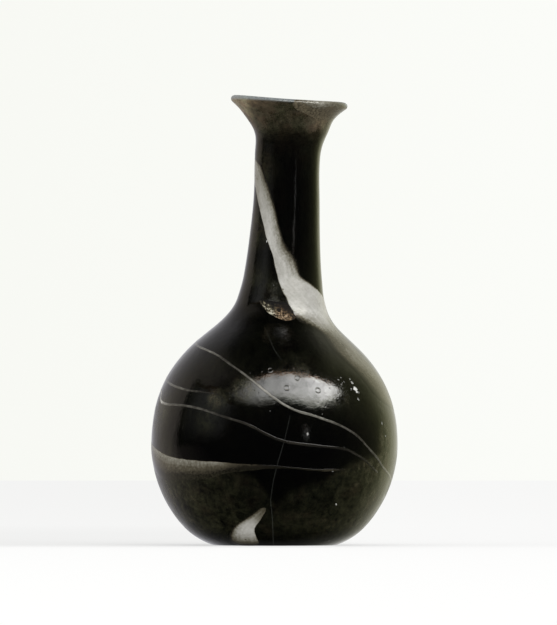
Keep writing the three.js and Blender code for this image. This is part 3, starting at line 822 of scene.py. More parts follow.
for share in (scratch_depth, in_front, grain_share):
    scratched = add_node(tree, "ShaderNodeMath", {0: scratched, 1: share}, operation="MULTIPLY")
glass_colour = add_node(tree, "ShaderNodeMix", {
    "Factor": scratched, "A": glass_colour, "B": "#50534F"}, data_type="RGBA")
tree.links.new(glass_colour, shader.inputs["Base Color"])
print(len(scratch_rows), "rows of scratches")

# %% [markdown]
# ## Gloss and relief of the black glass
# Fire polish is very smooth, so the roughness starts low and rises only with the film. Bumps
# add what is too small to model: pits, the rims of burst bubbles, the slow waver of blown
# glass, which ruffles the window's edge, and a fine etching. Each takes the one before it as
# its normal, so they add up.

# %% Black glass: gloss and pits
roughness = add_node(tree, "ShaderNodeMapRange", {
    "Value": film_and_painted_light, "From Min": 0.0, "From Max": 0.6, "To Min": 0.06, "To Max": 0.42})
tree.links.new(roughness, shader.inputs["Roughness"])
# Pits about 1 mm apart, of which a fifth are there, a third of a millimetre across.
pits = add_node(tree, "ShaderNodeTexVoronoi", {"Vector": point, "Scale": 0.95})
pit_chance = add_node(tree, "ShaderNodeSeparateColor", {0: pits.node.outputs["Color"]})
pit_kept = add_node(tree, "ShaderNodeMath", {0: pit_chance, 1: 0.8}, operation="GREATER_THAN")
pit_bowl = add_node(tree, "ShaderNodeMapRange", {
    "Value": pits, "From Min": 0.04, "From Max": 0.26, "To Min": 1.0, "To Max": 0.0},
    interpolation_type="SMOOTHSTEP")
pit = add_node(tree, "ShaderNodeMath", {0: pit_kept, 1: pit_bowl}, operation="MULTIPLY")
pitted = add_node(tree, "ShaderNodeBump", {
    "Height": pit, "Strength": 1.0, "Distance": 0.025 * millimetre}, invert=True)
print("gloss and pits:", len(tree.nodes), "nodes")

# %% Black glass: bubbles and waver
# Burst bubbles leave rings about 1.3 mm across, which show where the window is mirrored.
# [share of a turn, height share]
burst_bubbles = [(0.031, 0.374), (-0.0105, 0.39), (0.06, 0.35), (0.015, 0.352)]
bubble_radius = 0.65
for turn_share, height_share in burst_bubbles:
    away = add_node(tree, "ShaderNodeVectorMath", {
        0: point, 1: on_skin(turn_share, height_share)}, operation="DISTANCE")
    from_rim = add_node(
        tree, "ShaderNodeMath", {0: away, 1: bubble_radius}, operation="SUBTRACT")
    from_rim = add_node(tree, "ShaderNodeMath", {0: from_rim}, operation="ABSOLUTE")
    rim = add_node(tree, "ShaderNodeMapRange", {
        "Value": from_rim, "From Min": 0.0, "From Max": 0.25, "To Min": 1.0, "To Max": 0.0},
        interpolation_type="SMOOTHSTEP")
    pitted = add_node(tree, "ShaderNodeBump", {
        "Height": rim, "Strength": 1.0, "Distance": 0.03 * millimetre, "Normal": pitted})
# The skin wavers over about 2 mm, and is faintly rough over a third of a millimetre.
waver = add_node(tree, "ShaderNodeTexNoise", {
    "Vector": point, "Scale": 0.5, "Detail": 3.0, "Roughness": 0.6})
wavered = add_node(tree, "ShaderNodeBump", {
    "Height": waver, "Strength": 1.0, "Distance": 0.05 * millimetre, "Normal": pitted})
etched = add_node(tree, "ShaderNodeBump", {
    "Height": grain, "Strength": 1.0, "Distance": 0.008 * millimetre, "Normal": wavered})
tree.links.new(etched, shader.inputs["Normal"])
print("black glass:", len(tree.nodes), "nodes")

# %% [markdown]
# ## The vessel
# The bubble of glass with its open mouth, from the kick under the base, over the lip, to the
# floor inside. It could be a curve with a spin, but a grid worked out as an array can swell,
# lean and dip in one formula, and every trail can read the same formula to lie on its skin.

# %% Section of the wall
vessel_columns = 224
outer_step, inner_step = 0.45, 2
pole_radius = 0.4


def wall_at(height):
    """Thickness of the glass: the body's, thinning up the neck and again to the lip."""
    neckward = smoothstep(height, body_centre, waist_height)
    lipward = smoothstep(height, waist_height, mouth_height)
    wall = body_wall + (neck_wall - body_wall) * neckward
    return wall + (lip_thickness - wall) * lipward


kick_reach = np.linspace(pole_radius, kick_radius, 14)[:-1]
kick = np.stack([kick_reach, kick_depth * (1 - (kick_reach / kick_radius) ** 2)], -1)
up_outside = np.concatenate([
    np.linspace(outside_along[0], 0, 10, endpoint=False),
    np.arange(0, side_length, outer_step),
    np.linspace(side_length, outside_along[-1], 26)])
outer = np.stack([np.interp(up_outside, outside_along, column) for column in outside.T], -1)
down_inside = np.arange(side_length, 0, -inner_step)
radius, height = (np.interp(down_inside, outside_along, column) for column in outside.T)
out, up = (np.interp(down_inside, outside_along, column) for column in outside_slope.T)
wall = wall_at(height)
inner = np.stack([radius - wall * up, height + wall * out], -1)
inner = inner[inner[:, 1] > floor_height + floor_blend]
floor_slope = (inner[-1] - inner[-2]) / (inner[-1, 1] - inner[-2, 1])
floor_edge = np.array([floor_radius, floor_height])
corner = pulled(inner[-1], inner[-1] - floor_blend * floor_slope, floor_edge, 12)
bottom = np.linspace(floor_edge, [pole_radius, floor_height], 12)
section = np.concatenate([kick, outer, inner[1:], corner[1:], bottom[1:]])
print(len(section), "points from the kick over the lip to the floor inside")

# %% Vessel
turns = np.linspace(0, 2 * np.pi, vessel_columns, endpoint=False)
vessel = piece_from_rings(
    "blown_vessel", placed(turns[None, :], section[:, :1], section[:, 1:]))
dress(vessel, "vessel", black_glass)

# %% [markdown]
# ## White glass in the wall
# A trail is a rod of soft white glass wound on and rolled flush. It could be a curve bevelled
# and sunk into the wall, but a strip that reads the vessel's own formula lies in its skin
# exactly. Each strip stands a few hundredths of a millimetre proud, its edges dive under the
# skin, and its underside closes it. Where the white is thin the black shows through, so the
# strip carries a whiteness, and a cover that falls from 1 to 0 towards its edges.


# %% Random lines and fields
def ripple(places, spacing, seed):
    """A smooth random line from -1 to 1 that takes a new value after each spacing."""
    values = np.random.default_rng(seed).uniform(-1, 1, int(places.max() / spacing) + 3)
    i = (places / spacing).astype(int)
    return values[i] + (values[i + 1] - values[i]) * smoothstep(places / spacing - i, 0, 1)


def lumps(x, y, size, seed):
    """A smooth random field of about -1 to 1: waves of about a size in many directions."""
    random = np.random.default_rng(seed)
    total = 0.0
    for angle, phase, length in random.uniform((0, 0, 0.6), (6.28, 6.28, 1.7), (14, 3)):
        wave = (x * np.cos(angle) + y * np.sin(angle)) / (size * length)
        total = total + np.cos(2 * np.pi * wave + phase)
    return total / 4


print("a ripple at four places:", np.round(ripple(np.arange(4.0), 2, 1), 2))

# %% Edges of a trail
kink_reach = 0.7


def at_shares(turn_shares, height_shares):
    """Turn, and distance up the wall. Below 0 a height counts on under the foot, and above 1
    it counts on over the lip."""
    held = np.clip(height_shares, 0, 1)
    past_end = (height_shares - held) * mouth_height
    return 2 * np.pi * turn_shares, along_at(held * mouth_height) + past_end


def between_edges(rows):
    """Two edges from rows of [turn, height of the left edge, turn, height of the right edge,
    whiteness, softness], left and right as seen by one who follows the trail outside."""
    dense = spline(rows, 60 * len(rows))
    return np.column_stack(
        [*at_shares(*dense[:, 0:2].T), *at_shares(*dense[:, 2:4].T), dense[:, 4:]])


def beside_line(rows, half_width):
    """Two edges from rows of [turn, height, width share, whiteness, softness]: a half width
    square to the line on either side."""
    dense = spline(rows, 60 * len(rows))
    turn, along = at_shares(*dense[:, 0:2].T)
    radius = np.interp(along, outside_along, outside[:, 0])
    level, up = radius * np.gradient(turn), np.gradient(along)
    level, up = (half_width * dense[:, 2] * v / np.hypot(level, up) for v in (level, up))
    return np.column_stack([
        turn - up / radius, along + level, turn + up / radius, along - level, dense[:, 3:]])


def followed(edges, spacing):
    """The edges in even steps of a length down the strip's middle, with kinks averaged out."""
    radius = np.interp((edges[:, 1] + edges[:, 3]) / 2, outside_along, outside[:, 0])
    steps = np.diff((edges[:, :2] + edges[:, 2:4]) / 2, axis=0)
    lengths = np.hypot(radius[1:] * steps[:, 0], steps[:, 1])
    path = respaced(edges, spacing, np.concatenate([[0], np.cumsum(lengths)]))
    return averaged(path, kink_reach, spacing)


print("an edge is averaged over about", kink_reach, "mm")

# %% Widths and cover of a trail
lap_share = 0.86
ragged_spacing = 1.6
crisp = 0.1


def half_widths(reach, travelled, ragged, seed):
    """Left and right half width, with the lap that dives under the skin: a quarter circle
    closes each end, and a random line makes the edge ragged."""
    half = reach / lap_share
    from_end = np.minimum(travelled, travelled[-1] - travelled) / half
    tip = np.sqrt(1 - (1 - np.clip(from_end, 0.02, 1)) ** 2)
    return [
        half * tip + ragged * tip * ripple(travelled, ragged_spacing, seed + i) for i in (0, 1)]


def cover_across(place, soft):
    """How well white covers the black: 1 inside, 0 at an edge and less past it. Softness is
    how much of the half width an edge fades over, the left one where it is above 0 and the
    right one where it is below."""
    cover = 1.0
    for sign in (1, -1):
        inside = 1.02 - sign * place / lap_share
        fade = np.maximum(sign * soft[:, None], 0.01)
        drop = np.clip(inside / (crisp + 0.25 * fade), -1, 1)
        rest = 0.45 - 0.4 * smoothstep(fade, 1.2, 2)
        cover = np.minimum(cover, drop * (rest + (1 - rest) * np.clip(inside / fade, 0, 1)))
    return cover


print(f"edges lie at {lap_share:.0%} of a strip's half width, and the rest dives under")

# %% Trails as rings
lap_depth = 0.12
edge_angle = 1.3
relief_size = 0.9


def trail(name, edges, crown, depth, ragged, seed, across=13, spacing=0.4, relief=0.0):
    """A strip between two edges. Across it, the height over the wall is the crown times one
    less the square of the share of the half width, and past the edge it falls under. The
    underside lies a depth below the skin, but never below the table."""
    path = followed(edges, spacing)
    (turn, along), (side_turn, side_along) = (
        ((path[:, :2] + sign * path[:, 2:4]) / 2).T for sign in (1, -1))
    white, soft = path[:, 4:].T
    travelled = spacing * np.arange(len(turn))
    radius = np.interp(along, outside_along, outside[:, 0])
    reach = np.hypot(radius * side_turn, side_along)
    left, right = half_widths(reach, travelled, ragged, seed)
    spread = np.linspace(-edge_angle, edge_angle, across)
    place = np.sin(spread) / np.sin(edge_angle)
    place = np.concatenate([place, place[-2:0:-2]])
    offset = np.where(place < 0, right[:, None], left[:, None]) * place
    edge = np.abs(place) / lap_share + 0 * offset
    rough = relief * lumps(travelled[:, None], offset, relief_size, seed + 2)
    over = (crown + rough) * (1 - edge ** 2)
    under = -lap_depth * (edge - 1) / (1 / lap_share - 1)
    proud = np.where(edge <= 1, over, under)
    proud = np.where(np.arange(len(place)) < across, proud, -depth)
    rings = on_outside(
        turn[:, None] + (side_turn / reach)[:, None] * offset,
        along[:, None] + (side_along / reach)[:, None] * offset,
        proud)
    rings[..., 2] = np.maximum(rings[..., 2], 0)
    return piece_from_rings(name, rings, {
        "across": offset, "travelled": travelled[:, None] + 0 * offset,
        "cover": cover_across(place, soft), "white": white[:, None] + 0 * offset})


print("a strip's edges dive", lap_depth, "mm under the skin")

# %% [markdown]
# ## Opaque white glass
# White glass of this kind is clouded with tin or antimony, and after rolling it has a satin
# skin. It gives the eye a warm white with streaks drawn out along the trail, grey and olive
# where it thins, and small burst bubbles. One graph serves every trail, and a ramp from black
# glass to white says what each whiteness looks like.


# %% What a strip carries
def strip_values(tree, seed):
    """The values that a strip carries: millimetres across and along it, cover, whiteness, and
    the place on the strip as a vector."""
    across, travelled, cover, white = (
        add_node(tree, "ShaderNodeAttribute", attribute_name=label).node.outputs["Fac"]
        for label in ("across", "travelled", "cover", "white"))
    on_trail = add_node(
        tree, "ShaderNodeCombineXYZ", {"X": across, "Y": travelled, "Z": float(seed)})
    return across, travelled, cover, white, on_trail


print("a strip carries across, travelled, cover and white")


# %% White glass: what shows
def whiteness_shown(tree, on_trail, cover, white, fray, streak_width, mottle):
    """The strip's whiteness times its frayed cover, streaks drawn out ten times along it,
    blotches of about 2 mm, and burst bubbles about 3 mm apart."""
    fray_share = add_node(tree, "ShaderNodeMapRange", {
        "Value": fray, "From Min": 0.25, "From Max": 0.75, "To Min": -0.16, "To Max": 0.16})
    frayed = add_node(tree, "ShaderNodeMath", {0: cover, 1: fray_share}, operation="ADD")
    body = add_node(tree, "ShaderNodeClamp", {"Value": frayed})
    drawn_out = add_node(
        tree, "ShaderNodeVectorMath", {0: on_trail, 1: (1, 0.1, 1)}, operation="MULTIPLY")
    streaks = add_node(tree, "ShaderNodeTexNoise", {
        "Vector": drawn_out, "Scale": 1 / streak_width, "Detail": 4.0, "Roughness": 0.55})
    streaky = add_node(tree, "ShaderNodeMapRange", {
        "Value": streaks, "From Min": 0.25, "From Max": 0.75,
        "To Min": 1 - mottle, "To Max": 1 + 0.6 * mottle})
    blotches = add_node(tree, "ShaderNodeTexNoise", {
        "Vector": on_trail, "Scale": 0.55, "Detail": 5.0, "Roughness": 0.65})
    blotchy = add_node(tree, "ShaderNodeMapRange", {
        "Value": blotches, "From Min": 0.3, "From Max": 0.7,
        "To Min": 1 - mottle, "To Max": 1 + 0.6 * mottle})
    bubbles = add_node(tree, "ShaderNodeTexVoronoi", {"Vector": on_trail, "Scale": 0.3})
    bubble = add_node(tree, "ShaderNodeMapRange", {
        "Value": bubbles, "From Min": 0.05, "From Max": 0.12, "To Min": 0.55, "To Max": 1.0})
    shown = white
    for share in (body, streaky, blotchy, bubble):
        shown = add_node(tree, "ShaderNodeMath", {0: shown, 1: share}, operation="MULTIPLY")
    return shown


def film_and_reflection_beside(tree, fray):
    """The film on the black glass where a trail is thin: near the foot and on the flare, in spots
    as wide as the fray. Near the foot its colour is the painted reflection of the table."""
    in_metres = add_node(tree, "ShaderNodeTexCoord").node.outputs["Object"]
    level = add_node(tree, "ShaderNodeSeparateXYZ", {0: in_metres}).node.outputs["Z"]
    level_share = add_node(tree, "ShaderNodeMapRange", {
        "Value": level, "From Max": mouth_height * millimetre})
    # Near the foot these shades are a painted reflection of the table.
    film_and_reflection_near = add_node(tree, "ShaderNodeValToRGB", {"Fac": level_share}, stops=[
        (0.0, "#1B1A13"), (0.155, "#25231A"), (0.19, "#060606"), (0.9, "#060606"),
        (0.95, "#564F40")])
    film_spots = add_node(tree, "ShaderNodeMapRange", {
        "Value": fray, "From Min": 0.32, "From Max": 0.68, "To Min": 0.35, "To Max": 1.6})
    return add_node(tree, "ShaderNodeMix", {
        "Factor": 1.0, "A": film_and_reflection_near, "B": film_spots}, data_type="RGBA", blend_type="MULTIPLY")


print("white glass shows where its cover is over 0")


# %% White glass
def trail_glass(name, shades, satin, streak_width, mottle, seed):
    """A finish for a trail: the whiteness that shows, read by a ramp of shades, with the film
    beside it where that is lighter, and near the foot the painted reflection of the table. Thin
    white is as glossy as the black, full white satin."""
    material, tree, shader = new_finish(name)
    shader.inputs["IOR"].default_value = 1.52
    across, travelled, cover, white, on_trail = strip_values(tree, seed)
    # Edges fray by about 0.6 mm.
    fray = add_node(tree, "ShaderNodeTexNoise", {
        "Vector": on_trail, "Scale": 1.6, "Detail": 4.0, "Roughness": 0.65})
    shown = whiteness_shown(tree, on_trail, cover, white, fray, streak_width, mottle)
    colour = add_node(tree, "ShaderNodeValToRGB", {"Fac": shown}, stops=shades)
    over_film_and_reflection = add_node(tree, "ShaderNodeMix", {
        "Factor": 1.0, "A": colour, "B": film_and_reflection_beside(tree, fray)},
        data_type="RGBA", blend_type="LIGHTEN")
    tree.links.new(over_film_and_reflection, shader.inputs["Base Color"])
    roughness = add_node(tree, "ShaderNodeMapRange", {
        "Value": shown, "From Min": 0.0, "From Max": 0.8, "To Min": 0.12, "To Max": satin})
    tree.links.new(roughness, shader.inputs["Roughness"])
    bump = add_node(tree, "ShaderNodeBump", {
        "Height": shown, "Strength": 0.5, "Distance": 0.03 * millimetre})
    tree.links.new(bump, shader.inputs["Normal"])
    return material


white_glass = trail_glass("opaque white glass, rolled in", [
    (0.0, "#040404"), (0.16, "#201D16"), (0.34, "#4E493B"), (0.5, "#7D7A6E"),
    (0.75, "#ADABA4"), (1.0, "#CDCCC7")],
    satin=0.36, streak_width=0.8, mottle=0.12, seed=3)
# A thread is the same glass drawn out thin, so the black shows through and greys it.
thread_glass = trail_glass("thin white glass thread", [
    (0.0, "#040404"), (0.2, "#2A2823"), (0.5, "#6E6C64"), (0.8, "#A3A198"), (1.0, "#C8C7BE")],
    satin=0.3, streak_width=0.5, mottle=0.35, seed=7)
print("white glass and thread glass are ready")

# %% [markdown]
# ## The broad trail and the threads
# The broad trail was wound on as a flat band, so both its edges are given, row by row along
# it. A thread is so thin that a line down its middle and a width say all. A curve with a bevel
# could carry both, but it can't widen on one side alone, or fade at one edge.

# %% Broad trail
# [turn and height of the left edge, turn and height of the right edge, whiteness, softness]
# From the lip down behind the neck, across its front, over the right shoulder, round the back,
# and low on the left to its end at the front.
broad_trail_rows = [
    (0.01, 1.004, 0.01, 0.976, 0.36, -2), (0.05, 1.006, 0.05, 0.968, 0.6, -2),
    (0.09, 1.01, 0.085, 0.96, 0.75, -2), (0.125, 1.02, 0.112, 0.956, 0.7, -2),
    (0.16, 1.03, 0.132, 0.956, 0.5, -1.6), (0.2, 1.01, 0.148, 0.956, 0.34, -0.9),
    (0.235, 0.985, 0.172, 0.954, 0.3, -0.5), (0.265, 0.962, 0.18, 0.94, 0.32, -0.4),
    (0.3, 0.942, 0.2, 0.922, 0.4, -0.3), (0.345, 0.926, 0.255, 0.897, 0.55, 0),
    (0.4, 0.911, 0.345, 0.868, 0.7, 0), (0.517, 0.892, 0.483, 0.844, 0.85, 0),
    (0.651, 0.876, 0.627, 0.826, 0.85, 0), (0.752, 0.868, 0.735, 0.818, 0.7, 0.3),
    (0.806, 0.861, 0.77, 0.808, 0.66, 0.5), (0.858, 0.847, 0.804, 0.792, 0.6, 0.8),
    (0.881, 0.825, 0.825, 0.774, 0.66, 0.9), (0.908, 0.803, 0.845, 0.756, 0.72, 1.1),
    (0.926, 0.781, 0.864, 0.74, 0.76, 1.1), (0.944, 0.759, 0.879, 0.725, 0.8, 1.1),
    (0.959, 0.737, 0.896, 0.707, 0.82, 1), (0.973, 0.715, 0.912, 0.685, 0.86, 1.2),
    (0.988, 0.693, 0.932, 0.667, 0.86, 1.3), (1.005, 0.673, 0.948, 0.649, 0.82, 1.4),
    (1.031, 0.659, 0.959, 0.632, 0.8, 1.4), (1.056, 0.64, 0.971, 0.612, 0.8, 1.3),
    (1.069, 0.618, 0.981, 0.594, 0.84, 1), (1.078, 0.603, 0.993, 0.579, 0.88, 0.7),
    (1.1, 0.597, 1.006, 0.564, 0.87, 0.5), (1.135, 0.587, 1.021, 0.548, 0.84, 0.25),
    (1.175, 0.573, 1.033, 0.531, 0.86, 0), (1.225, 0.56, 1.045, 0.513, 0.91, -0.7),
    (1.232, 0.543, 1.063, 0.5, 0.94, -1.1), (1.228, 0.525, 1.09, 0.492, 0.88, -1.1),
    # Round the right shoulder the whiteness drops: partly thinner white, partly painted shade on
    # that side.
    (1.218, 0.504, 1.108, 0.484, 0.66, -0.9), (1.207, 0.482, 1.114, 0.474, 0.5, -1.1),
    (1.202, 0.464, 1.112, 0.459, 0.43, -1.3), (1.2, 0.45, 1.113, 0.444, 0.43, -1.1),
    (1.2, 0.438, 1.12, 0.428, 0.45, -0.9), (1.204, 0.424, 1.13, 0.412, 0.44, -0.9),
    (1.212, 0.41, 1.14, 0.394, 0.42, -1), (1.222, 0.397, 1.15, 0.374, 0.41, -1.2),
    (1.236, 0.384, 1.162, 0.351, 0.41, -1.3), (1.26, 0.368, 1.185, 0.33, 0.42, -0.8),
    (1.3, 0.35, 1.25, 0.31, 0.5, 0), (1.36, 0.328, 1.35, 0.286, 0.6, 0),
    (1.501, 0.285, 1.499, 0.251, 0.6, 0), (1.631, 0.255, 1.629, 0.222, 0.55, -0.6),
    (1.7, 0.237, 1.69, 0.197, 0.5, -1.3), (1.765, 0.216, 1.745, 0.174, 0.52, -1.8),
    (1.802, 0.2025, 1.78, 0.15, 0.56, -2), (1.822, 0.195, 1.802, 0.14, 0.58, -2.2),
    (1.841, 0.189, 1.829, 0.138, 0.62, -2.2), (1.862, 0.1855, 1.857, 0.139, 0.62, -2.2),
    (1.881, 0.184, 1.877, 0.14, 0.62, -2.2), (1.898, 0.183, 1.895, 0.142, 0.6, -2.2),
    (1.914, 0.182, 1.912, 0.145, 0.56, -2.2), (1.929, 0.1815, 1.928, 0.154, 0.54, -2.1),
    (1.943, 0.18, 1.942, 0.159, 0.38, -2.2), (1.957, 0.18, 1.956, 0.163, 0.25, -2),
    (1.976, 0.18, 1.976, 0.167, 0.2, -1.6), (1.996, 0.179, 1.996, 0.172, 0.1, -0.8),
    (2.022, 0.177, 2.022, 0.173, 0.05, 0), (2.052, 0.175, 2.052, 0.171, 0.07, 0),
    (2.074, 0.176, 2.075, 0.171, 0.22, 0), (2.1, 0.178, 2.1, 0.175, 0.08, 0)]
broad_trail = trail(
    "broad_white_trail", between_edges(broad_trail_rows), crown=0.06, depth=0.9, ragged=0.1,
    seed=11, across=31)
dress(broad_trail, "broad_trail", white_glass)

# %% Threads
# [turn, height, share of the thread's width, whiteness, softness]
thread_half_width = 0.34
shoulder_thread_rows = [
    (0.5, 0.505, 0.6, 0.4, 0), (0.6, 0.487, 0.8, 0.4, 0), (0.7, 0.464, 1, 0.5, 0),
    (0.8, 0.44, 1, 0.5, 0), (0.862, 0.427, 1, 0.5, 0), (0.898, 0.414, 1, 0.34, 0),
    (0.927, 0.396, 1, 0.3, 0), (0.948, 0.38, 1, 0.4, 0), (0.966, 0.364, 1, 0.5, 0),
    (0.982, 0.346, 1, 0.55, 0), (0.998, 0.328, 1, 0.5, 0), (1.014, 0.312, 1, 0.56, 0),
    (1.031, 0.301, 1, 0.48, 0), (1.05, 0.294, 1, 0.5, 0), (1.069, 0.285, 1, 0.42, 0),
    (1.087, 0.276, 1, 0.38, 0), (1.103, 0.265, 1, 0.34, 0), (1.12, 0.249, 1, 0.28, 0),
    (1.136, 0.229, 1, 0.3, 0), (1.157, 0.207, 1, 0.34, 0), (1.185, 0.18, 0.95, 0.5, 0),
    (1.25, 0.147, 0.9, 0.5, 0), (1.34, 0.124, 0.75, 0.45, 0), (1.42, 0.111, 0.5, 0.4, 0)]
waist_thread_rows = [
    (0.56, 0.384, 0.6, 0.4, 0), (0.65, 0.362, 0.8, 0.5, 0), (0.73, 0.342, 1, 0.6, 0),
    (0.778, 0.33, 1, 0.85, 0), (0.79, 0.312, 1.2, 1, 0), (0.815, 0.304, 1.1, 0.6, 0),
    (0.845, 0.303, 1, 0.34, 0), (0.87, 0.301, 1, 0.34, 0), (0.893, 0.297, 1, 0.32, 0),
    (0.916, 0.288, 1, 0.25, 0), (0.934, 0.28, 1, 0.24, 0), (0.954, 0.272, 1, 0.22, 0),
    (0.97, 0.263, 1, 0.22, 0), (0.982, 0.253, 1, 0.12, 0), (0.996, 0.242, 1, 0.1, 0),
    (1.011, 0.234, 1, 0.12, 0), (1.027, 0.23, 1, 0.2, 0), (1.064, 0.226, 1, 0.1, 0),
    (1.097, 0.223, 0.9, 0.12, 0), (1.112, 0.214, 0.85, 0.2, 0), (1.129, 0.203, 0.85, 0.18, 0),
    (1.145, 0.188, 0.8, 0.2, 0), (1.165, 0.172, 0.7, 0.3, 0)]
short_thread_rows = [
    (0.655, 0.392, 0.7, 0.4, 0), (0.72, 0.376, 1, 0.5, 0), (0.78, 0.357, 1, 0.5, 0),
    (0.828, 0.344, 1, 0.45, 0), (0.846, 0.34, 1, 0.4, 0), (0.865, 0.336, 0.9, 0.32, 0),
    (0.89, 0.334, 0.7, 0.2, 0), (0.91, 0.332, 0.5, 0.1, 0)]
threads = {
    "shoulder": (shoulder_thread_rows, 21),
    "waist": (waist_thread_rows, 31),
    "short": (short_thread_rows, 41),
}
for level, (rows, seed) in threads.items():
    thread = trail(
        f"{level}_white_thread", beside_line(rows, thread_half_width), crown=0.02, depth=0.5,
        ragged=0.06, seed=seed, across=9, spacing=0.35)
    dress(thread, f"{level}_thread", thread_glass)

# %% [markdown]
# ## Dab and crust
# The dab at the foot is a bit of white glass that ran to a point. The patch at the neck's root
# is white glass that weathered to cream flakes and a brown stain. Both are strips like the
# trails, and the crust has a low relief too, because its flakes stand up and break away.

# %% Base dab
# Rows as of the broad trail, from the foot up.
base_dab_rows = [
    (0.882, -0.006, 0.974, -0.006, 0.08, 0.7), (0.884, 0.002, 0.973, 0.002, 0.16, 0.6),
    (0.892, 0.01, 0.969, 0.008, 0.36, 0.7), (0.904, 0.02, 0.966, 0.014, 0.6, 0.8),
    (0.921, 0.037, 0.964, 0.027, 0.84, 0.85), (0.942, 0.053, 0.967, 0.04, 0.84, 0.8),
    (0.963, 0.068, 0.976, 0.055, 0.54, 0.8), (0.975, 0.0785, 0.982, 0.065, 0.4, 0.8),
    (0.981, 0.0855, 0.987, 0.074, 0.4, 0.7), (0.986, 0.089, 0.99, 0.08, 0.28, 0.5)]
base_dab = trail(
    "base_white_dab", between_edges(base_dab_rows), crown=0.05, depth=0.7, ragged=0.12,
    seed=51, across=21, spacing=0.25)
dress(base_dab, "base_dab", white_glass)

# %% Crusted glass
# Flakes are cells of about half a millimetre, each as bright as chance made it. They are
# cream along the lower edge, and brown stain soaks in from above and from the trail's side.
crusted_glass, tree, shader = new_finish("weathered white glass crust")
shader.inputs["IOR"].default_value = 1.5
across, travelled, cover, white, on_crust = strip_values(tree, 9)
flakes = add_node(tree, "ShaderNodeTexVoronoi", {"Vector": on_crust, "Scale": 1.9})
flake_chance = add_node(tree, "ShaderNodeSeparateColor", {0: flakes.node.outputs["Color"]})
flake_share = add_node(tree, "ShaderNodeMapRange", {
    "Value": flake_chance, "To Min": 0.25, "To Max": 1.35})
soil = add_node(tree, "ShaderNodeTexNoise", {
    "Vector": on_crust, "Scale": 1.0, "Detail": 5.0, "Roughness": 0.7})
soil_share = add_node(tree, "ShaderNodeMapRange", {
    "Value": soil, "From Min": 0.3, "From Max": 0.7, "To Min": 0.1, "To Max": 1.45})
low_edge = add_node(tree, "ShaderNodeMapRange", {
    "Value": across, "From Min": 1.2, "From Max": -1.2, "To Min": 0.2, "To Max": 1.15})
frayed = add_node(tree, "ShaderNodeMath", {0: cover, 1: soil_share}, operation="MULTIPLY")
body = add_node(tree, "ShaderNodeMapRange", {
    "Value": frayed, "From Min": 0.25, "From Max": 0.85}, interpolation_type="SMOOTHSTEP")
shown = white
for share in (flake_share, soil_share, low_edge, body):
    shown = add_node(tree, "ShaderNodeMath", {0: shown, 1: share}, operation="MULTIPLY")
cream = add_node(tree, "ShaderNodeValToRGB", {"Fac": shown}, stops=[
    (0.0, "#090807"), (0.15, "#1D1A13"), (0.35, "#4E4836"), (0.6, "#8F8872"), (1.0, "#CFCBBB")])
stain = add_node(tree, "ShaderNodeValToRGB", {"Fac": shown}, stops=[
    (0.0, "#090706"), (0.2, "#2A2014"), (0.45, "#5E4B34"), (0.75, "#8B745A"), (1.0, "#AE9A80")])
stained = add_node(tree, "ShaderNodeMapRange", {
    "Value": travelled, "From Min": 4.5, "From Max": 6.5}, interpolation_type="SMOOTHSTEP")
crust_colour = add_node(tree, "ShaderNodeMix", {
    "Factor": stained, "A": cream, "B": stain}, data_type="RGBA")
tree.links.new(crust_colour, shader.inputs["Base Color"])
shader.inputs["Roughness"].default_value = 0.85
shader.inputs["Specular IOR Level"].default_value = 0.2
flaked = add_node(tree, "ShaderNodeBump", {
    "Height": shown, "Strength": 0.8, "Distance": 0.06 * millimetre})
tree.links.new(flaked, shader.inputs["Normal"])
print("crusted glass:", len(tree.nodes), "nodes")

# %% Trail scab
# Rows as of the broad trail, from the left to the trail.
trail_scab_rows = [
    (0.918, 0.546, 0.924, 0.539, 0.3, 0.5), (0.936, 0.546, 0.943, 0.53, 0.75, 0.6),
    (0.955, 0.545, 0.961, 0.519, 0.95, 0.8), (0.974, 0.544, 0.98, 0.511, 1, 0.8),
    (0.992, 0.543, 0.996, 0.507, 0.9, 0.8), (1.013, 0.542, 1.014, 0.503, 0.8, 0.8),
    (1.03, 0.538, 1.029, 0.501, 0.75, 0.7), (1.045, 0.529, 1.04, 0.502, 0.5, 0.6),
    (1.052, 0.517, 1.05, 0.505, 0.3, 0.5)]
trail_scab = trail(
    "trail_scab_crust", between_edges(trail_scab_rows), crown=0.05, depth=0.7, ragged=0.25,
    seed=61, across=31, spacing=0.12, relief=0.03)
dress(trail_scab, "trail_scab", crusted_glass)

# %% [markdown]
# ## The pontil's wad
# While the mouth was shaped, a rod held the base by a bit of soft glass. Snapped off, it left
# a rough wad in the kick. It is a disc with a wavering edge whose underside is broken: the
# same random field that roughens the crust makes its fracture.

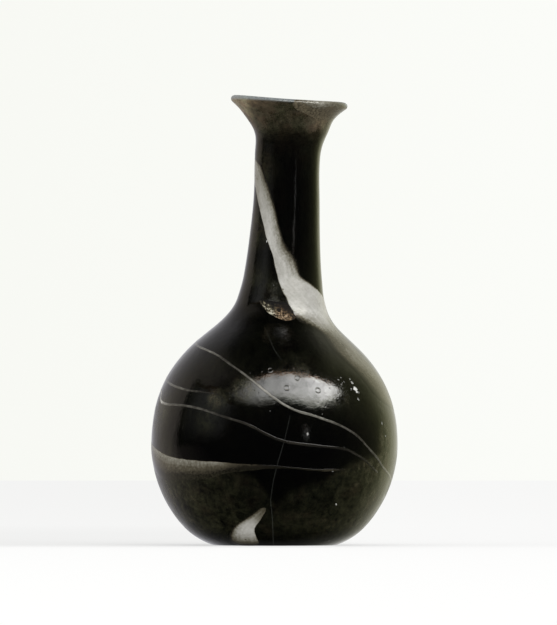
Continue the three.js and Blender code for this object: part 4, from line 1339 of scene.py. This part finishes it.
# %% Pontil wad
wad_radius, wad_under = 4.4, 1.35
fracture_rise, fracture_relief, fracture_size = 0.5, 0.16, 2.2
into_kick = 0.05
pole_share = 0.06
top_rings, under_rings = 14, 20
around = np.linspace(0, 2 * np.pi, 72, endpoint=False)[None, :]
reach = wad_radius * (1 + 0.03 * np.cos(3 * around + 1) + 0.02 * np.cos(7 * around))
shares = np.concatenate([
    np.linspace(pole_share, 1, top_rings), np.linspace(0.97, pole_share, under_rings)])[:, None]
wad_out = shares * reach
is_top = (np.arange(len(shares)) < top_rings)[:, None]
kick_over = kick_depth * (1 - (wad_out / kick_radius) ** 2)
fracture = wad_under + fracture_rise * shares ** 6 + fracture_relief * lumps(
    wad_out * np.cos(around), wad_out * np.sin(around), fracture_size, 71)
wad_height = np.where(is_top, kick_over + into_kick, np.minimum(fracture, kick_over))
pontil_wad = piece_from_rings("pontil_wad_scar", placed(around, wad_out, wad_height))

# %% Broken glass
# Snapped glass is as dark as the wall, with sharp facets of about a millimetre that glint, and
# dust in its hollows.
broken_glass, tree, shader = new_finish("broken black glass")
shader.inputs["IOR"].default_value = 1.52
point = point_in_millimetres(tree)
chips = add_node(tree, "ShaderNodeTexVoronoi", {"Vector": point, "Scale": 0.8})
dust = add_node(tree, "ShaderNodeTexNoise", {"Vector": point, "Scale": 1.4, "Detail": 4.0})
dust_shade = add_node(tree, "ShaderNodeValToRGB", {"Fac": dust}, stops=[
    (0.35, "#0B0A0C"), (0.6, "#26231D"), (0.8, "#575146")])
tree.links.new(dust_shade, shader.inputs["Base Color"])
dust_rough = add_node(tree, "ShaderNodeMapRange", {
    "Value": dust, "From Min": 0.3, "From Max": 0.8, "To Min": 0.15, "To Max": 0.6})
tree.links.new(dust_rough, shader.inputs["Roughness"])
chipped = add_node(tree, "ShaderNodeBump", {
    "Height": chips, "Strength": 0.6, "Distance": 0.1 * millimetre})
tree.links.new(chipped, shader.inputs["Normal"])
dress(pontil_wad, "pontil_wad", broken_glass)
print("broken glass:", len(tree.nodes), "nodes")
